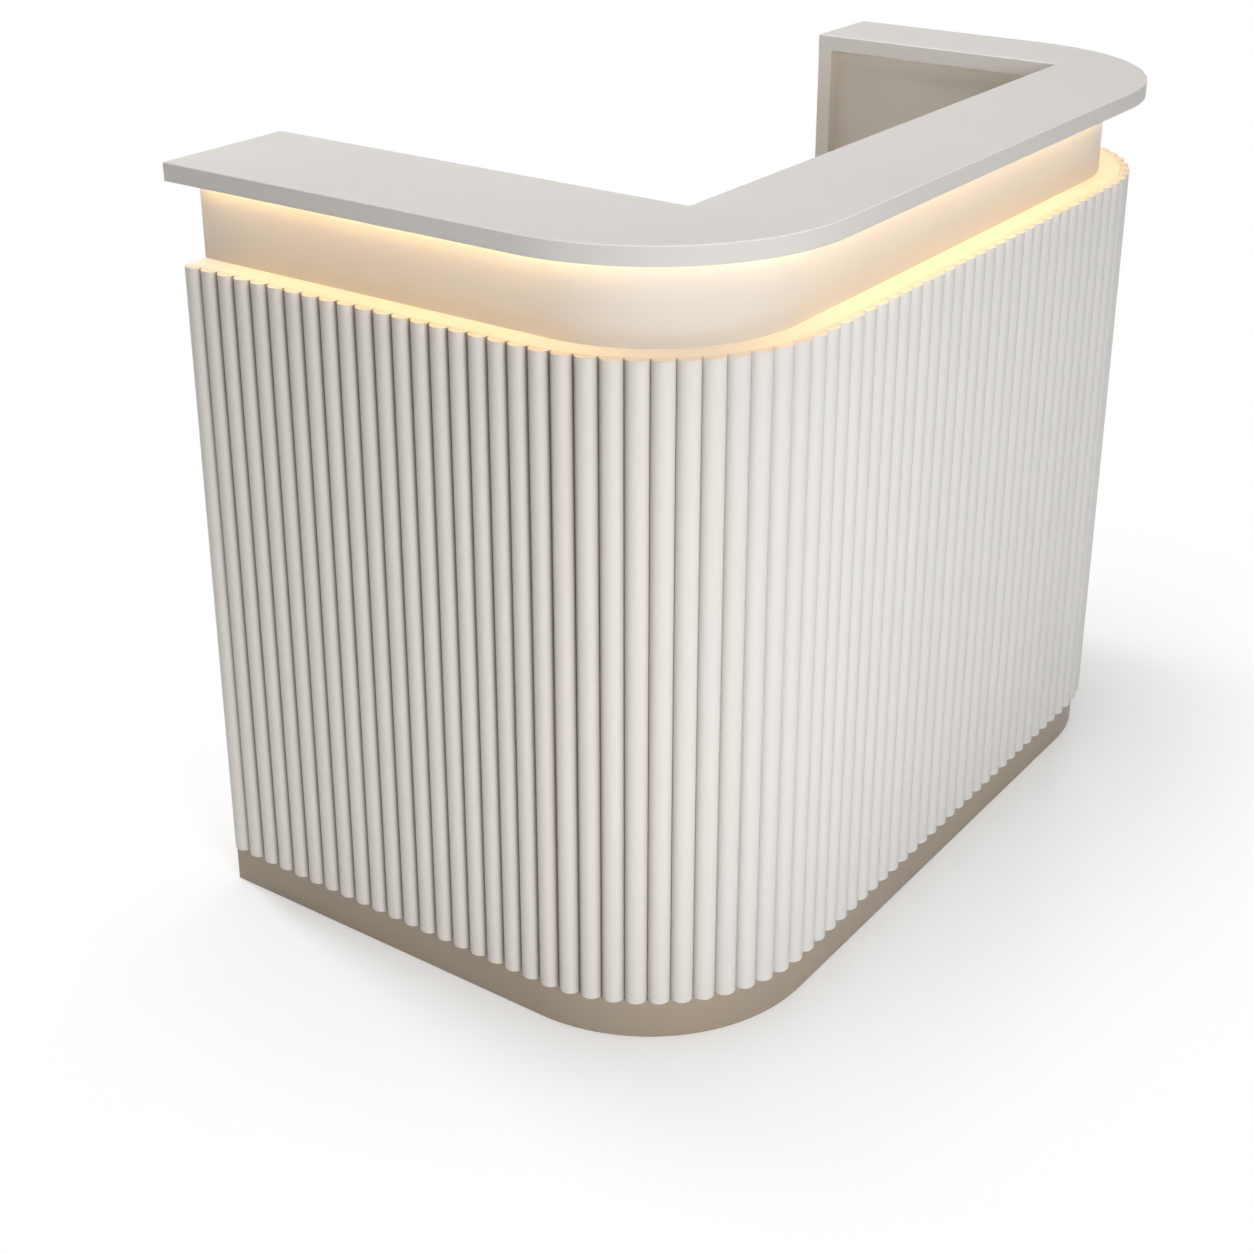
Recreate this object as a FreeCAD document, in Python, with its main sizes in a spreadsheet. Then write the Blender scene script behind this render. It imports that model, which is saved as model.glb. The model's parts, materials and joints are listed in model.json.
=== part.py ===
import FreeCAD, Part
import math
import os

import Sketcher

# A U-shaped reception desk with a fluted front, a lit recess under the counter and a plinth.
# Millimetres, +Z up, front towards -Y, long return on -X.
# Plan positions are measured from the sharp front left corner of the counter outline.
# Every piece is then shifted so that the middle of the desk's footprint is the origin.

DRIVING = {
    # whole desk
    "desk_length": 1400,
    "left_depth": 850,
    "right_depth": 610,
    "desk_height": 1100,
    "corner_centre": 278,
    # counter slab
    "counter_thick": 25,
    "counter_left": 215,
    "counter_front": 180,
    "counter_right": 150,
    "counter_round": 2,
    # half-round slats
    "flute_inset": 13,
    "flute_radius": 15,
    "flutes_left": 19,
    "flutes_corner": 13,
    "flutes_front": 28,
    "flutes_right": 11,
    # levels
    "plinth_height": 60,
    "ledge_height": 958,
    # board thicknesses and set-backs
    "plinth_inset": 24,
    "plinth_thick": 16,
    "plinth_setback": 10,
    "base_thick": 18,
    "ledge_thick": 18,
    "skin_thick": 12,
    "lining_thick": 12,
    "lining_recess": 22,
    "end_thick": 25,
    "neck_inset": 60,
    "neck_thick": 6,
    "rib_thick": 16,
    "batten_width": 20,
    "batten_height": 30,
    # staff worktop
    "worktop_height": 740,
    "worktop_thick": 25,
    "worktop_depth": 420,
    "cleat_short": 20,
    # light under the counter
    "groove_inset": 47,
    "groove_width": 12,
    "groove_depth": 10,
    "strip_thick": 1,
    "strip_height": 8,
    "light_gap": 0.2,
    "lead_radius": 2.5,
    "lead_bend": 30,
    "lead_hole": 4,
    "feed_length": 50,
    # power unit on the staff side
    "unit_left": 1000,
    "unit_bottom": 575,
    "unit_length": 180,
    "unit_depth": 60,
    "unit_height": 75,
    "unit_wall": 2,
    "unit_round": 4,
    "driver_margin": 10,
    "driver_depth": 30,
    "driver_round": 3,
    "inlet_from_end": 42,
    "switch_from_end": 50,
    "inlet_width": 27,
    "inlet_height": 20,
    "inlet_depth": 18,
    "inlet_rim": 3.5,
    "inlet_flange": 2.5,
    "inlet_wall": 2.5,
    "pin_wide": 2,
    "pin_tall": 4,
    "pin_drop": 2,
    "earth_pin_rise": 4,
    "pin_length": 11,
    "pin_spacing": 7,
    "switch_width": 20,
    "switch_height": 27,
    "switch_depth": 20,
    "switch_rim": 1.5,
    "switch_flange": 2,
    "switch_wall": 1.5,
    "cutout_gap": 0.2,
    "rocker_width": 16.2,
    "rocker_reach": 10.5,
    "rocker_crest": 7.5,
    "rocker_dip": 6.2,
    "rocker_foot": 6,
    "rocker_depth": 3,
    "rocker_tilt": 7,
    "rocker_drawn_at": 20,
    "pivot_depth": 5,
    "trunnion_radius": 1.5,
    "trunnion_half": 9.6,
    "trunnion_gap": 0.05,
    # levelling feet
    "foot_front_gap": 60,
    "foot_rear_gap": 80,
    "foot_lift": 1,
    "foot_pad": 20,
    "foot_pad_thick": 8,
    "foot_neck": 9,
    "foot_neck_height": 7,
    "stem_radius": 5,
    "stem_length": 92,
    "nut_gap": 0.08,
    "nut_barrel": 6.5,
    "nut_flange": 12,
    "nut_flange_thick": 2,
    "nut_length": 13,
    # wood screws
    "screw_radius": 2,
    "screw_head": 4,
    "screw_head_thick": 3,
    "screw_bite": 15,
    "screw_gap": 0.2,
}

doc = FreeCAD.newDocument("ReceptionDesk")
sheet = doc.addObject("Spreadsheet::Sheet", "Sizes")
for row, (name, number) in enumerate(DRIVING.items(), start=1):
    sheet.set(f"A{row}", name)
    sheet.set(f"B{row}", str(number))
    sheet.setAlias(f"B{row}", name)
doc.recompute()


class Size:
    """A number together with the sheet expression that gives it."""

    def __init__(self, value, text):
        self.value = value
        self.text = text

    def __add__(self, other):
        other = as_size(other)
        return Size(self.value + other.value, f"({self.text} + {other.text})")

    def __sub__(self, other):
        other = as_size(other)
        return Size(self.value - other.value, f"({self.text} - {other.text})")

    def __mul__(self, other):
        other = as_size(other)
        return Size(self.value * other.value, f"({self.text} * {other.text})")

    def __truediv__(self, other):
        other = as_size(other)
        return Size(self.value / other.value, f"({self.text} / {other.text})")

    def cos(self):
        return Size(math.cos(math.radians(self.value)), f"cos({self.text} * 1 deg)")

    def sin(self):
        return Size(math.sin(math.radians(self.value)), f"sin({self.text} * 1 deg)")


def as_size(number):
    return number if isinstance(number, Size) else Size(number, str(number))


def size(name):
    return Size(DRIVING[name], f"Sizes.{name}")


def bind(item, prop, length):
    item.setExpression(prop, as_size(length).text)


NODES = {}
TOLERANCE = 1e-6


def node(item, label):
    """Keeps an object as a sub-part of the desk under its own name."""
    item.Label = label
    NODES[label] = item
    return item


# Lengths that several pieces share
zero = as_size(0)
length = size("desk_length")
left_rear = size("left_depth")
right_rear = size("right_depth")
bend = size("corner_centre")
counter_under = size("desk_height") - size("counter_thick")
backing = size("flute_inset") + size("flute_radius")
plinth_top = size("plinth_height")
base_top = plinth_top + size("base_thick")
ledge_top = size("ledge_height")
ledge_under = ledge_top - size("ledge_thick")
counter_right_edge = length - size("counter_right")
lining_left = size("counter_left") - size("lining_recess")
lining_front = size("counter_front") - size("lining_recess")
lining_right = counter_right_edge + size("lining_recess")
lining_left_back = lining_left - size("lining_thick")
lining_front_back = lining_front - size("lining_thick")
lining_right_back = lining_right + size("lining_thick")
left_end_face = left_rear - size("end_thick")
right_end_face = right_rear - size("end_thick")
batten_foot = counter_under - size("batten_height")


def place(item, x, y, z):
    """Sets an object by its plan position, measured from the front left corner."""
    bind(item, "Placement.Base.x", x - length / 2)
    bind(item, "Placement.Base.y", y - left_rear / 2)
    bind(item, "Placement.Base.z", z)
    return item


def box(name, x, y, z):
    """A board between the pairs of positions x, y and z."""
    item = doc.addObject("Part::Box", name)
    bind(item, "Length", x[1] - x[0])
    bind(item, "Width", y[1] - y[0])
    bind(item, "Height", z[1] - z[0])
    return place(item, x[0], y[0], z[0])


def rod(name, radius, x, y, z):
    """An upright cylinder between the two heights of z."""
    item = doc.addObject("Part::Cylinder", name)
    bind(item, "Radius", radius)
    bind(item, "Height", z[1] - z[0])
    return place(item, x, y, z[0])


def cross_rod(name, radius, axis, reach, x, y, z):
    """A cylinder that starts at a point and lies along X or Y."""
    item = doc.addObject("Part::Cylinder", name)
    turned_about = FreeCAD.Vector(0, 1, 0) if axis == "X" else FreeCAD.Vector(-1, 0, 0)
    item.Placement = FreeCAD.Placement(FreeCAD.Vector(), FreeCAD.Rotation(turned_about, 90))
    bind(item, "Radius", radius)
    bind(item, "Height", reach)
    return place(item, x, y, z)


def fused(name, pieces):
    item = doc.addObject("Part::MultiFuse", name)
    item.Shapes = pieces
    item.Refine = True
    return item


def cut(name, base, tools):
    """The base without the tools."""
    item = doc.addObject("Part::Cut", name)
    item.Base = base
    item.Tool = tools[0] if len(tools) == 1 else fused(f"{name}_tools", tools)
    item.Refine = True
    return item


def group(name, pieces):
    """Several separate solids kept as one node."""
    item = doc.addObject("Part::Compound", name)
    item.Links = pieces
    return item


def corner(name, inset, thick, z, on_right):
    """A quarter ring round one of the two front corners."""
    centre_x = length - bend if on_right else bend
    rings = []
    for part, radius in (("outer", bend - inset), ("inner", bend - inset - thick)):
        item = doc.addObject("Part::Cylinder", f"{name}_{part}")
        first_angle = 270 if on_right else 180
        turn = FreeCAD.Rotation(FreeCAD.Vector(0, 0, 1), first_angle)
        item.Placement = FreeCAD.Placement(FreeCAD.Vector(), turn)
        item.Angle = 90
        bind(item, "Radius", radius)
        bind(item, "Height", z[1] - z[0])
        rings.append(place(item, centre_x, bend, z[0]))
    return cut(name, rings[0], rings[1:])


def wrap(name, inset, thick, z, rear_left, rear_right):
    """Five pieces that follow the desk's outline: left, corner, front, corner, right."""
    inner = inset + thick
    return {
        f"{name}_left": box(f"{name}_left", (inset, inner), (bend, rear_left), z),
        f"{name}_corner_left": corner(f"{name}_corner_left", inset, thick, z, False),
        f"{name}_front": box(f"{name}_front", (bend, length - bend), (inset, inner), z),
        f"{name}_corner_right": corner(f"{name}_corner_right", inset, thick, z, True),
        f"{name}_right": box(f"{name}_right", (length - inner, length - inset), (bend, rear_right), z),
    }


def keep_wrap(pieces):
    for label, item in pieces.items():
        node(item, label)


def sketch_on(body, name, role):
    sketch = body.newObject("Sketcher::SketchObject", name)
    plane = next(item for item in body.Origin.OriginFeatures if item.Role == role)
    sketch.AttachmentSupport = [(plane, "")]
    sketch.MapMode = "FlatFace"
    return sketch


def dimension(sketch, kind, where, length_size):
    """Adds a dimension and ties it to the sheet."""
    index = sketch.addConstraint(Sketcher.Constraint(kind, *where, length_size.value))
    bind(sketch, f"Constraints[{index}]", length_size)


def line(start, end):
    return Part.LineSegment(
        FreeCAD.Vector(start[0].value, start[1].value, 0),
        FreeCAD.Vector(end[0].value, end[1].value, 0),
    )


def arc(centre, radius, first_angle):
    circle = Part.Circle(
        FreeCAD.Vector(centre[0].value, centre[1].value, 0), FreeCAD.Vector(0, 0, 1), radius.value
    )
    return Part.ArcOfCircle(circle, math.radians(first_angle), math.radians(first_angle + 90))


ORIGIN = (-1, 1)
START, END, CENTRE = 1, 2, 3


def u_outline(sketch, inset, rear_left, rear_right, inner_left, inner_front, inner_right):
    """A U with two round front corners outside and two square corners inside."""
    outer_right = length - inset
    right_bend = length - bend
    radius = bend - inset
    edges = [
        line((inset, rear_left), (inset, bend)),
        arc((bend, bend), radius, 180),
        line((bend, inset), (right_bend, inset)),
        arc((right_bend, bend), radius, 270),
        line((outer_right, bend), (outer_right, rear_right)),
        line((outer_right, rear_right), (inner_right, rear_right)),
        line((inner_right, rear_right), (inner_right, inner_front)),
        line((inner_right, inner_front), (inner_left, inner_front)),
        line((inner_left, inner_front), (inner_left, rear_left)),
        line((inner_left, rear_left), (inset, rear_left)),
    ]
    sketch.addGeometry(edges, False)
    for first in range(len(edges)):
        second = (first + 1) % len(edges)
        kind = "Tangent" if first < 4 else "Coincident"
        sketch.addConstraint(Sketcher.Constraint(kind, first, END, second, START))
    for edge in (0, 4, 6, 8):
        sketch.addConstraint(Sketcher.Constraint("Vertical", edge))
    for edge in (2, 5, 7, 9):
        sketch.addConstraint(Sketcher.Constraint("Horizontal", edge))
    dimension(sketch, "DistanceX", (*ORIGIN, 1, CENTRE), bend)
    dimension(sketch, "DistanceY", (*ORIGIN, 1, CENTRE), bend)
    dimension(sketch, "DistanceX", (*ORIGIN, 3, CENTRE), right_bend)
    dimension(sketch, "Radius", (1,), radius)
    dimension(sketch, "Radius", (3,), radius)
    dimension(sketch, "DistanceY", (*ORIGIN, 0, START), rear_left)
    dimension(sketch, "DistanceY", (*ORIGIN, 4, END), rear_right)
    dimension(sketch, "DistanceX", (*ORIGIN, 8, START), inner_left)
    dimension(sketch, "DistanceX", (*ORIGIN, 6, START), inner_right)
    dimension(sketch, "DistanceY", (*ORIGIN, 7, START), inner_front)


def polygon(sketch, points):
    """A closed outline of straight edges, each corner placed from the sheet."""
    count = len(points)
    edges = [line(points[index], points[(index + 1) % count]) for index in range(count)]
    sketch.addGeometry(edges, False)
    for first in range(count):
        sketch.addConstraint(Sketcher.Constraint("Coincident", first, END, (first + 1) % count, START))
    for index, (across, up) in enumerate(points):
        dimension(sketch, "DistanceX", (*ORIGIN, index, START), across)
        dimension(sketch, "DistanceY", (*ORIGIN, index, START), up)


def padded(body, sketch, thick):
    pad = body.newObject("PartDesign::Pad", f"{body.Name}_pad")
    pad.Profile = sketch
    bind(pad, "Length", thick)
    sketch.Visibility = False
    return pad


def u_board(name, thick, bottom, outline):
    """A U-shaped board cut from one sheet."""
    body = doc.addObject("PartDesign::Body", name)
    sketch = sketch_on(body, f"{name}_outline", "XY_Plane")
    u_outline(sketch, *outline)
    padded(body, sketch, thick)
    return place(body, zero, zero, bottom)


def wood_screw(name, x, y, seat, top):
    """A screw driven upwards, with its head under the height called seat."""
    head = rod(f"{name}_head", size("screw_head"), x, y, (seat - size("screw_head_thick"), seat))
    shank = rod(f"{name}_shank", size("screw_radius"), x, y, (seat, top))
    return fused(name, [head, shank])


def screw_hole(name, x, y, z):
    return rod(name, size("screw_radius") + size("screw_gap"), x, y, z)


# Plinth: a frame of boards that stands on the floor, outside, inside and at both rear ends
floor_to_base = (zero, plinth_top)
plinth_inner_face = size("plinth_inset") + size("plinth_thick")
keep_wrap(wrap("plinth", size("plinth_inset"), size("plinth_thick"), floor_to_base, left_rear, right_rear))
inner_x_left = lining_left - size("plinth_setback")
inner_x_right = lining_right + size("plinth_setback")
inner_y = lining_front - size("plinth_setback")
left_end_board = left_rear - size("plinth_thick")
right_end_board = right_rear - size("plinth_thick")
node(box("plinth_inner_left", (inner_x_left - size("plinth_thick"), inner_x_left),
         (inner_y - size("plinth_thick"), left_end_board), floor_to_base), "plinth_inner_left")
node(box("plinth_inner_front", (inner_x_left, inner_x_right),
         (inner_y - size("plinth_thick"), inner_y), floor_to_base), "plinth_inner_front")
node(box("plinth_inner_right", (inner_x_right, inner_x_right + size("plinth_thick")),
         (inner_y - size("plinth_thick"), right_end_board), floor_to_base), "plinth_inner_right")
node(box("plinth_end_left", (plinth_inner_face, inner_x_left), (left_end_board, left_rear),
         floor_to_base), "plinth_end_left")
node(box("plinth_end_right", (inner_x_right, length - plinth_inner_face), (right_end_board, right_rear),
         floor_to_base), "plinth_end_right")

# Levelling feet stand inside the plinth frame, two under each return
left_foot_x = (plinth_inner_face + inner_x_left - size("plinth_thick")) / 2
right_foot_x = (inner_x_right + size("plinth_thick") + length - plinth_inner_face) / 2
front_foot_y = bend - size("foot_front_gap")
rear_foot_gap = size("foot_rear_gap")
FEET = {
    "front_left": (left_foot_x, front_foot_y),
    "rear_left": (left_foot_x, left_rear - rear_foot_gap),
    "front_right": (right_foot_x, front_foot_y),
    "rear_right": (right_foot_x, right_rear - rear_foot_gap),
}


def levelling_foot(name, x, y):
    pad_top = size("foot_lift") + size("foot_pad_thick")
    neck_top = pad_top + size("foot_neck_height")
    pad = rod(f"{name}_pad", size("foot_pad"), x, y, (size("foot_lift"), pad_top))
    cone = doc.addObject("Part::Cone", f"{name}_neck")
    bind(cone, "Radius1", size("foot_neck"))
    bind(cone, "Radius2", size("stem_radius"))
    bind(cone, "Height", size("foot_neck_height"))
    place(cone, x, y, pad_top)
    stem = rod(f"{name}_stem", size("stem_radius"), x, y, (neck_top, neck_top + size("stem_length")))
    return fused(name, [pad, cone, stem])


def threaded_nut(name, x, y):
    """A flanged nut let into the base board from below."""
    bore_radius = size("stem_radius") + size("nut_gap")
    flange_foot = plinth_top - size("nut_flange_thick")
    flange = rod(f"{name}_flange", size("nut_flange"), x, y, (flange_foot, plinth_top))
    barrel = rod(f"{name}_barrel", size("nut_barrel"), x, y, (plinth_top, plinth_top + size("nut_length")))
    bore = rod(f"{name}_bore", bore_radius, x, y, (flange_foot, plinth_top + size("nut_length")))
    return cut(name, fused(f"{name}_body", [flange, barrel]), [bore])


foot_nuts = []
nut_holes = []
for spot, (foot_x, foot_y) in FEET.items():
    node(levelling_foot(f"foot_{spot}", foot_x, foot_y), f"foot_{spot}")
    foot_nuts.append(threaded_nut(f"foot_nut_{spot}", foot_x, foot_y))
    hole_radius = size("nut_barrel") + size("screw_gap")
    nut_holes.append(rod(f"nut_hole_{spot}", hole_radius, foot_x, foot_y, (plinth_top, base_top)))
node(group("foot_nuts", foot_nuts), "foot_nuts")

# Base board on the plinth, and the ledge board that closes the fluted body above
base_outline = (backing, left_end_face, right_end_face, lining_left, lining_front, lining_right)
base_blank = u_board("base_blank", size("base_thick"), plinth_top, base_outline)
node(cut("base_board", base_blank, nut_holes), "base_board")

ledge_outline = (backing, left_rear, right_rear, lining_left_back, lining_front_back, lining_right_back)
ledge_blank = u_board("ledge_blank", size("ledge_thick"), ledge_under, ledge_outline)
lead_x = size("unit_left") + size("unit_length") / 2
lead_y = lining_front_back - size("lead_bend")
ledge_hole = rod("ledge_hole", size("lead_hole"), lead_x, lead_y, (ledge_under, ledge_top))
node(cut("ledge_board", ledge_blank, [ledge_hole]), "ledge_board")

# Outer skins behind the slats, and the recessed neck between the ledge and the counter
keep_wrap(wrap("skin", backing, size("skin_thick"), (base_top, ledge_under), left_end_face, right_end_face))
keep_wrap(wrap("neck", size("neck_inset"), size("neck_thick"), (ledge_top, counter_under),
               left_rear, right_rear))


def half_round(name, x, y, turn):
    """One slat: half a cylinder whose flat back lies on the skin, turned to face outwards."""
    item = doc.addObject("Part::Cylinder", name)
    item.Angle = 180
    bind(item, "Radius", size("flute_radius"))
    bind(item, "Height", ledge_top - plinth_top)
    facing = FreeCAD.Rotation(FreeCAD.Vector(0, 0, 1), turn.value)
    item.Placement = FreeCAD.Placement(FreeCAD.Vector(), facing)
    bind(item, "Placement.Rotation.Angle", turn)
    return place(item, x, y, plinth_top)


def slat_middles(start, end, count):
    """Middles of the slats that share a straight stretch evenly."""
    step = (end - start) / count
    return [start + step * (index + 0.5) for index in range(count.value)]


def flute_groups():
    face_right = length - backing
    left_middles = slat_middles(bend, left_rear, size("flutes_left"))
    front_middles = slat_middles(bend, length - bend, size("flutes_front"))
    right_middles = slat_middles(bend, right_rear, size("flutes_right"))
    corner_radius = bend - backing
    angles = slat_middles(zero, as_size(90), size("flutes_corner"))
    stretches = {
        "flutes_left": [(backing, y, as_size(90)) for y in left_middles],
        "flutes_front": [(x, backing, as_size(180)) for x in front_middles],
        "flutes_right": [(face_right, y, as_size(270)) for y in right_middles],
        "flutes_corner_left": [
            (bend - corner_radius * angle.cos(), bend - corner_radius * angle.sin(), angle + 90)
            for angle in angles
        ],
        "flutes_corner_right": [
            (length - bend + corner_radius * angle.sin(), bend - corner_radius * angle.cos(), angle + 180)
            for angle in angles
        ],
    }
    for label, spots in stretches.items():
        slats = [half_round(f"{label}_{index}", *spot) for index, spot in enumerate(spots)]
        node(group(label, slats), label)


flute_groups()

# Staff side: linings set back under the counter's inner edge
lining_z = (base_top, counter_under)
node(box("lining_left", (lining_left_back, lining_left), (lining_front_back, left_end_face), lining_z),
     "lining_left")
node(box("lining_right", (lining_right, lining_right_back), (lining_front_back, right_end_face), lining_z),
     "lining_right")
front_lining_blank = box("lining_front_blank", (lining_left, lining_right),
                         (lining_front_back, lining_front), lining_z)
driver_middle = size("unit_bottom") + size("unit_height") / 2
lining_bore = cross_rod("lining_bore", size("lead_hole"), "Y", size("lining_thick"),
                        lead_x, lining_front_back, driver_middle)
node(cut("lining_front", front_lining_blank, [lining_bore]), "lining_front")


def end_board(name, mirrored, inner_edge, ledge_edge, rear):
    """The board that closes the rear of a return, notched round the ledge board."""
    neck_back = size("neck_inset") + size("neck_thick")
    outline = [
        (backing, plinth_top), (inner_edge, plinth_top), (inner_edge, counter_under),
        (neck_back, counter_under), (neck_back, ledge_top), (ledge_edge, ledge_top),
        (ledge_edge, ledge_under), (backing, ledge_under),
    ]
    if mirrored:
        outline = [(length - across, up) for across, up in reversed(outline)]
    body = doc.addObject("PartDesign::Body", name)
    sketch = sketch_on(body, f"{name}_outline", "XZ_Plane")
    polygon(sketch, outline)
    padded(body, sketch, size("end_thick"))
    place(body, zero, rear, zero)
    return node(body, name)


end_board("end_board_left", False, size("counter_left"), lining_left_back, left_rear)
end_board("end_board_right", True, size("counter_right"), length - lining_right_back, right_rear)

# Ribs stiffen the hollow walls between skin and lining
skin_back = backing + size("skin_thick")
rib_z = (base_top, ledge_under)
left_rib_y = (bend + left_end_face) / 2
right_rib_y = (bend + right_end_face) / 2
front_quarter = (length - bend * 2) / 4


def rib_span(middle):
    return (middle - size("rib_thick") / 2, middle + size("rib_thick") / 2)


node(box("rib_left", (skin_back, lining_left_back), rib_span(left_rib_y), rib_z), "rib_left")
node(box("rib_right", (lining_right_back, length - skin_back), rib_span(right_rib_y), rib_z), "rib_right")
node(box("rib_front_left", rib_span(bend + front_quarter), (skin_back, lining_front_back), rib_z),
     "rib_front_left")
node(box("rib_front_right", rib_span(length - bend - front_quarter), (skin_back, lining_front_back), rib_z),
     "rib_front_right")

# Battens under the counter, and cleats under the worktop, each drilled for its screws
worktop_under = size("worktop_height") - size("worktop_thick")
worktop_rear = lining_front + size("worktop_depth")
cleat_foot = worktop_under - size("batten_height")
counter_screws = []
worktop_screws = []
counter_holes = []
worktop_holes = []


SCREW_COUNTS = {
    "batten_left": 3,
    "batten_front": 4,
    "batten_right": 2,
    "cleat_left": 2,
    "cleat_front": 3,
    "cleat_right": 2,
}


def spaced(start, end, count):
    """Even screw spots along a bar, half a step in from each end."""
    step = (end - start) / count
    return [start + step * (index + 0.5) for index in range(count)]


def drilled_bar(label, x, y, z, along, screws, holes):
    """A bar with upward screws along X or Y; each screw bites into the board above."""
    count = SCREW_COUNTS[label]
    if along == "X":
        middle = (y[0] + y[1]) / 2
        spots = [(spot, middle) for spot in spaced(*x, count)]
    else:
        middle = (x[0] + x[1]) / 2
        spots = [(middle, spot) for spot in spaced(*y, count)]
    bores = []
    bite = z[1] + size("screw_bite")
    for index, (spot_x, spot_y) in enumerate(spots):
        name = f"{label}_screw_{index}"
        screws.append(wood_screw(name, spot_x, spot_y, z[0], bite))
        bores.append(screw_hole(f"{name}_bore", spot_x, spot_y, z))
        holes.append(screw_hole(f"{name}_pilot", spot_x, spot_y, (z[1], bite)))
    return node(cut(label, box(f"{label}_bar", x, y, z), bores), label)


# The battens of the returns start behind the round corners, clear of the neck
batten_z = (batten_foot, counter_under)
batten_start = size("counter_front") + size("batten_width")
batten_left_x = (lining_left_back - size("batten_width"), lining_left_back)
batten_right_x = (lining_right_back, lining_right_back + size("batten_width"))
batten_front_x = (size("counter_left"), counter_right_edge)
batten_front_y = (lining_front_back - size("batten_width"), lining_front_back)
drilled_bar("batten_left", batten_left_x, (batten_start, left_end_face), batten_z, "Y",
            counter_screws, counter_holes)
drilled_bar("batten_right", batten_right_x, (batten_start, right_end_face), batten_z, "Y",
            counter_screws, counter_holes)
drilled_bar("batten_front", batten_front_x, batten_front_y, batten_z, "X", counter_screws, counter_holes)

cleat_z = (cleat_foot, worktop_under)
cleat_left_x = (lining_left, lining_left + size("batten_width"))
cleat_right_x = (lining_right - size("batten_width"), lining_right)
cleat_front_x = (cleat_left_x[1], cleat_right_x[0])
cleat_front_y = (lining_front, lining_front + size("batten_width"))
cleat_y = (lining_front, worktop_rear - size("cleat_short"))
drilled_bar("cleat_left", cleat_left_x, cleat_y, cleat_z, "Y", worktop_screws, worktop_holes)
drilled_bar("cleat_right", cleat_right_x, cleat_y, cleat_z, "Y", worktop_screws, worktop_holes)
drilled_bar("cleat_front", cleat_front_x, cleat_front_y, cleat_z, "X", worktop_screws, worktop_holes)
node(group("counter_screws", counter_screws), "counter_screws")
node(group("worktop_screws", worktop_screws), "worktop_screws")

worktop_blank = box("worktop_blank", (lining_left, lining_right), (lining_front, worktop_rear),
                    (worktop_under, size("worktop_height")))
node(cut("worktop", worktop_blank, worktop_holes), "worktop")

# Counter: one slab with a softened top edge, a routed light groove and a feed slot underneath
counter_outline = (zero, left_rear, right_rear, size("counter_left"), size("counter_front"),
                   counter_right_edge)


def counter_blank():
    body = u_board("counter_blank", size("counter_thick"), counter_under, counter_outline)
    doc.recompute()
    pad = body.Tip
    top_edges = [
        f"Edge{index}" for index, edge in enumerate(pad.Shape.Edges, start=1)
        if abs(edge.BoundBox.ZMin - size("counter_thick").value) < TOLERANCE
    ]
    rounded = body.newObject("PartDesign::Fillet", "counter_edge")
    rounded.Base = (pad, top_edges)
    bind(rounded, "Radius", size("counter_round"))
    return body


groove_z = (counter_under, counter_under + size("groove_depth"))
groove = list(wrap("groove", size("groove_inset"), size("groove_width"), groove_z, left_rear,
                   right_rear).values())
feed_start = size("groove_inset") + size("groove_width")
feed_slot = box("feed_slot", (lead_x - size("lead_hole"), lead_x + size("lead_hole")),
                (feed_start - size("strip_thick"), feed_start + size("feed_length")), groove_z)
node(cut("countertop", counter_blank(), [*groove, feed_slot, *counter_holes]), "countertop")

# Light: a strip on edge against the groove's inner wall and an opal bar that fills the rest
gap = size("light_gap")
strip_inset = feed_start - gap - size("strip_thick")
strip_foot = counter_under + (size("groove_depth") - size("strip_height")) / 2
strip_z = (strip_foot, strip_foot + size("strip_height"))
light_left = left_rear - gap
light_right = right_rear - gap
strip_pieces = wrap("led_strip", strip_inset, size("strip_thick"), strip_z, light_left, light_right)
node(fused("led_strip", list(strip_pieces.values())), "led_strip")
bar_inset = size("groove_inset") + gap
bar_width = size("groove_width") - gap * 3 - size("strip_thick")
bar_z = (counter_under, counter_under + size("groove_depth") - gap)
bar_pieces = wrap("led_diffuser", bar_inset, bar_width, bar_z, light_left, light_right)
node(fused("led_diffuser", list(bar_pieces.values())), "led_diffuser")


def lead_route():
    """The low-voltage lead: out of the lining, up inside the front wall and over the neck."""
    shift_x = lead_x.value - length.value / 2
    shift_y = left_rear.value / 2
    radius = DRIVING["lead_bend"]
    bottom = driver_middle.value
    top = groove_z[0].value + DRIVING["groove_depth"] / 2
    upright = lead_y.value
    diagonal = radius * math.sqrt(0.5)

    def point(y, z):
        return FreeCAD.Vector(shift_x, y - shift_y, z)

    start = point(lining_front.value - DRIVING["light_gap"], bottom)
    low_in = point(upright + radius, bottom)
    low_mid = point(upright + radius - diagonal, bottom + radius - diagonal)
    low_out = point(upright, bottom + radius)
    high_in = point(upright, top - radius)
    high_mid = point(upright - radius + diagonal, top - radius + diagonal)
    high_out = point(upright - radius, top)
    finish = point(feed_start.value, top)
    edges = [
        Part.LineSegment(start, low_in).toShape(),
        Part.Arc(low_in, low_mid, low_out).toShape(),
        Part.LineSegment(low_out, high_in).toShape(),
        Part.Arc(high_in, high_mid, high_out).toShape(),
        Part.LineSegment(high_out, finish).toShape(),
    ]
    return Part.Wire(edges), start


route, lead_start = lead_route()
lead_section = Part.Wire(Part.makeCircle(DRIVING["lead_radius"], lead_start, FreeCAD.Vector(0, -1, 0)))
led_lead = doc.addObject("Part::Feature", "led_lead")
led_lead.Shape = route.makePipeShell([lead_section], True, False)
node(led_lead, "led_lead")

# Power unit: a case on the lining with the driver inside, a mains inlet and a rocker switch
unit_x = (size("unit_left"), size("unit_left") + size("unit_length"))
unit_y = (lining_front, lining_front + size("unit_depth"))
unit_z = (size("unit_bottom"), size("unit_bottom") + size("unit_height"))
wall = size("unit_wall")
inlet_x = unit_x[0] + size("inlet_from_end")
switch_x = unit_x[1] - size("switch_from_end")


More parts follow.
